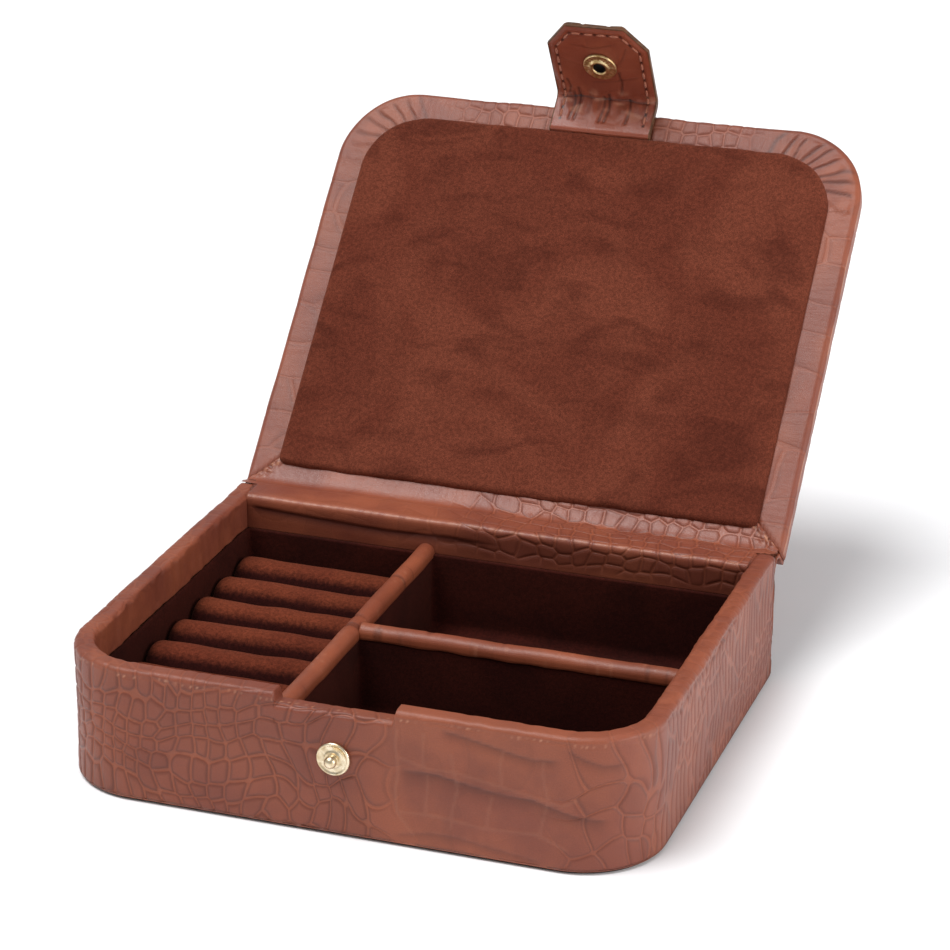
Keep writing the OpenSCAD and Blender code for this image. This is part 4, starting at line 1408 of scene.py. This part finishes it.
# %% [markdown]
# ## Press stud
# The stud, socket and cap are turned shapes. A circle is added and extruded ring by ring, with
# each ring scaled to its radius, as on a lathe. The stud's plate and the socket's ring have
# radial grooves, made by lowering points in even groups round the axis.

# %% Turned parts
GROOVE_DEPTH, GROOVE_FLOOR = 0.2, 0.3


def turned_part(name, profile, segments):
    """A turned shape about Z. The profile is (radius, height), from the bottom up."""
    deselect()
    radius, height = profile[0]
    bpy.ops.mesh.primitive_circle_add(vertices=segments, radius=radius * MM,
                                      location=(0, 0, height * MM))
    piece = bpy.context.object
    piece.name = piece.data.name = name
    bpy.ops.object.transform_apply(location=True, rotation=False, scale=False)
    bpy.ops.object.mode_set(mode="EDIT")
    bpy.ops.mesh.select_all(action="SELECT")
    for (r0, h0), (r1, h1) in zip(profile, profile[1:]):
        bpy.ops.mesh.extrude_region_move(TRANSFORM_OT_translate={
            "value": (0, 0, (h1 - h0) * MM)})
        bpy.ops.transform.resize(value=(r1 / r0, r1 / r0, 1), center_override=(0, 0, 0),
                                 constraint_axis=(True, True, False))
    bpy.ops.object.mode_set(mode="OBJECT")
    return sealed(piece)


def cut_grooves(piece, inner, outer, count):
    """Lowers the top face between two radii, in this many grooves round the axis."""
    for point in piece.data.vertices:
        radius = math.hypot(point.co.x, point.co.y) / MM
        turn = math.atan2(point.co.y, point.co.x) / (2 * math.pi) * count
        if inner < radius < outer and point.co.z > GROOVE_FLOOR * MM and round(turn * 2) % 2:
            point.co.z -= GROOVE_DEPTH * MM


ball = [(1.9 * math.cos(a), 2.5 + 1.9 * math.sin(a)) for a in np.radians(np.arange(-42, 86, 8))]
plate = [(0.05, -0.8), (1.2, -0.8), (1.2, -0.3), (4.6, -0.3), (5.0, 0.0), (5.1, 0.35),
         (5.0, 0.75), (4.75, 0.98), (4.45, 1.0), (4.25, 0.9), (3.7, 0.82), (3.1, 0.8),
         (2.6, 0.84), (2.35, 0.98), (2.05, 1.04), (1.8, 0.98), (1.6, 1.1)]
stud = turned_part("press_stud", plate + ball + [(0.05, 4.4)], 96)
cut_grooves(stud, 2.5, 4.3, 48)
stud.data.transform(along_axis((TAB_MIDDLE, TRAY_FRONT, stud_z), (0, -1, 0)))
dressed(stud, pale_brass, "pale_brass", "stud", body="tray")

# %% Socket and cap
BORE_RADIUS, BORE_TOP = 2.15, 1.2
socket_profile = [(0.05, -1.75), (2.9, -1.75), (2.9, 0.02), (5.2, 0.0), (5.6, 0.12), (5.75, 0.5),
                  (5.65, 0.9), (5.35, 1.15), (4.95, 1.22), (4.3, 1.18), (3.7, 1.2), (3.45, 1.32),
                  (3.2, 1.6), (2.95, 1.75), (2.65, 1.75), (2.35, 1.6), (2.12, 1.3), (2.05, 0.8),
                  (2.0, -1.5), (0.05, -1.5)]
socket = turned_part("snap_socket_ring", socket_profile, 96)
cut_grooves(socket, 3.6, 5.0, 24)
socket.data.transform(along_axis(snap_place + inner_out * SKIN, inner_out))
dressed(socket, socket_brass, "brass", "snap_socket", body="tab")
centre = np.array([face.center[:] for face in socket.data.polygons]) / MM - snap_place
rise = centre @ inner_out
from_axis = np.linalg.norm(centre - np.outer(rise, inner_out), axis=1)
# painted shade: the socket's bore gets the dark finish
second_finish(socket, painted_bore_shade, (from_axis < BORE_RADIUS) & (rise < SKIN + BORE_TOP))

cap_profile = [(0.05, -0.1), (5.9, -0.1), (6.3, 0.05), (6.4, 0.3)]
cap_profile += [(6.4 * math.cos(a), 0.3 + 0.62 * math.sin(a)) for a in np.radians(
    np.arange(14, 88, 12))] + [(0.05, 0.92)]
cap = turned_part("snap_cap_dome", cap_profile, 72)
cap.data.transform(along_axis(snap_place - inner_out * SKIN, -inner_out))
dressed(cap, pale_brass, "pale_brass", "snap_cap", body="tab")

# %% [markdown]
# ## The inner parts and the base
# Boards, card, wadding, the stud's rivet and the base cloth keep their CAD meshes. Each gets its
# finish, so the case looks right in pieces too.

# %% Finishes of the CAD's own parts
boards = ("bottom_board", "wall_frame", "back_wall_board", "long_divider_board",
          "cross_divider_board", "lid_board")
kept = {**dict.fromkeys(boards, grey_board), "spine_board": spine_card,
        "lid_padding": felt_wadding, "bottom_cover": base_cloth, "stud_rivet": pale_brass}
for node, material in kept.items():
    finished(frame["nodes"][node], material)
print("kept CAD parts:", len(kept))

# %% Clear the selection
deselect()
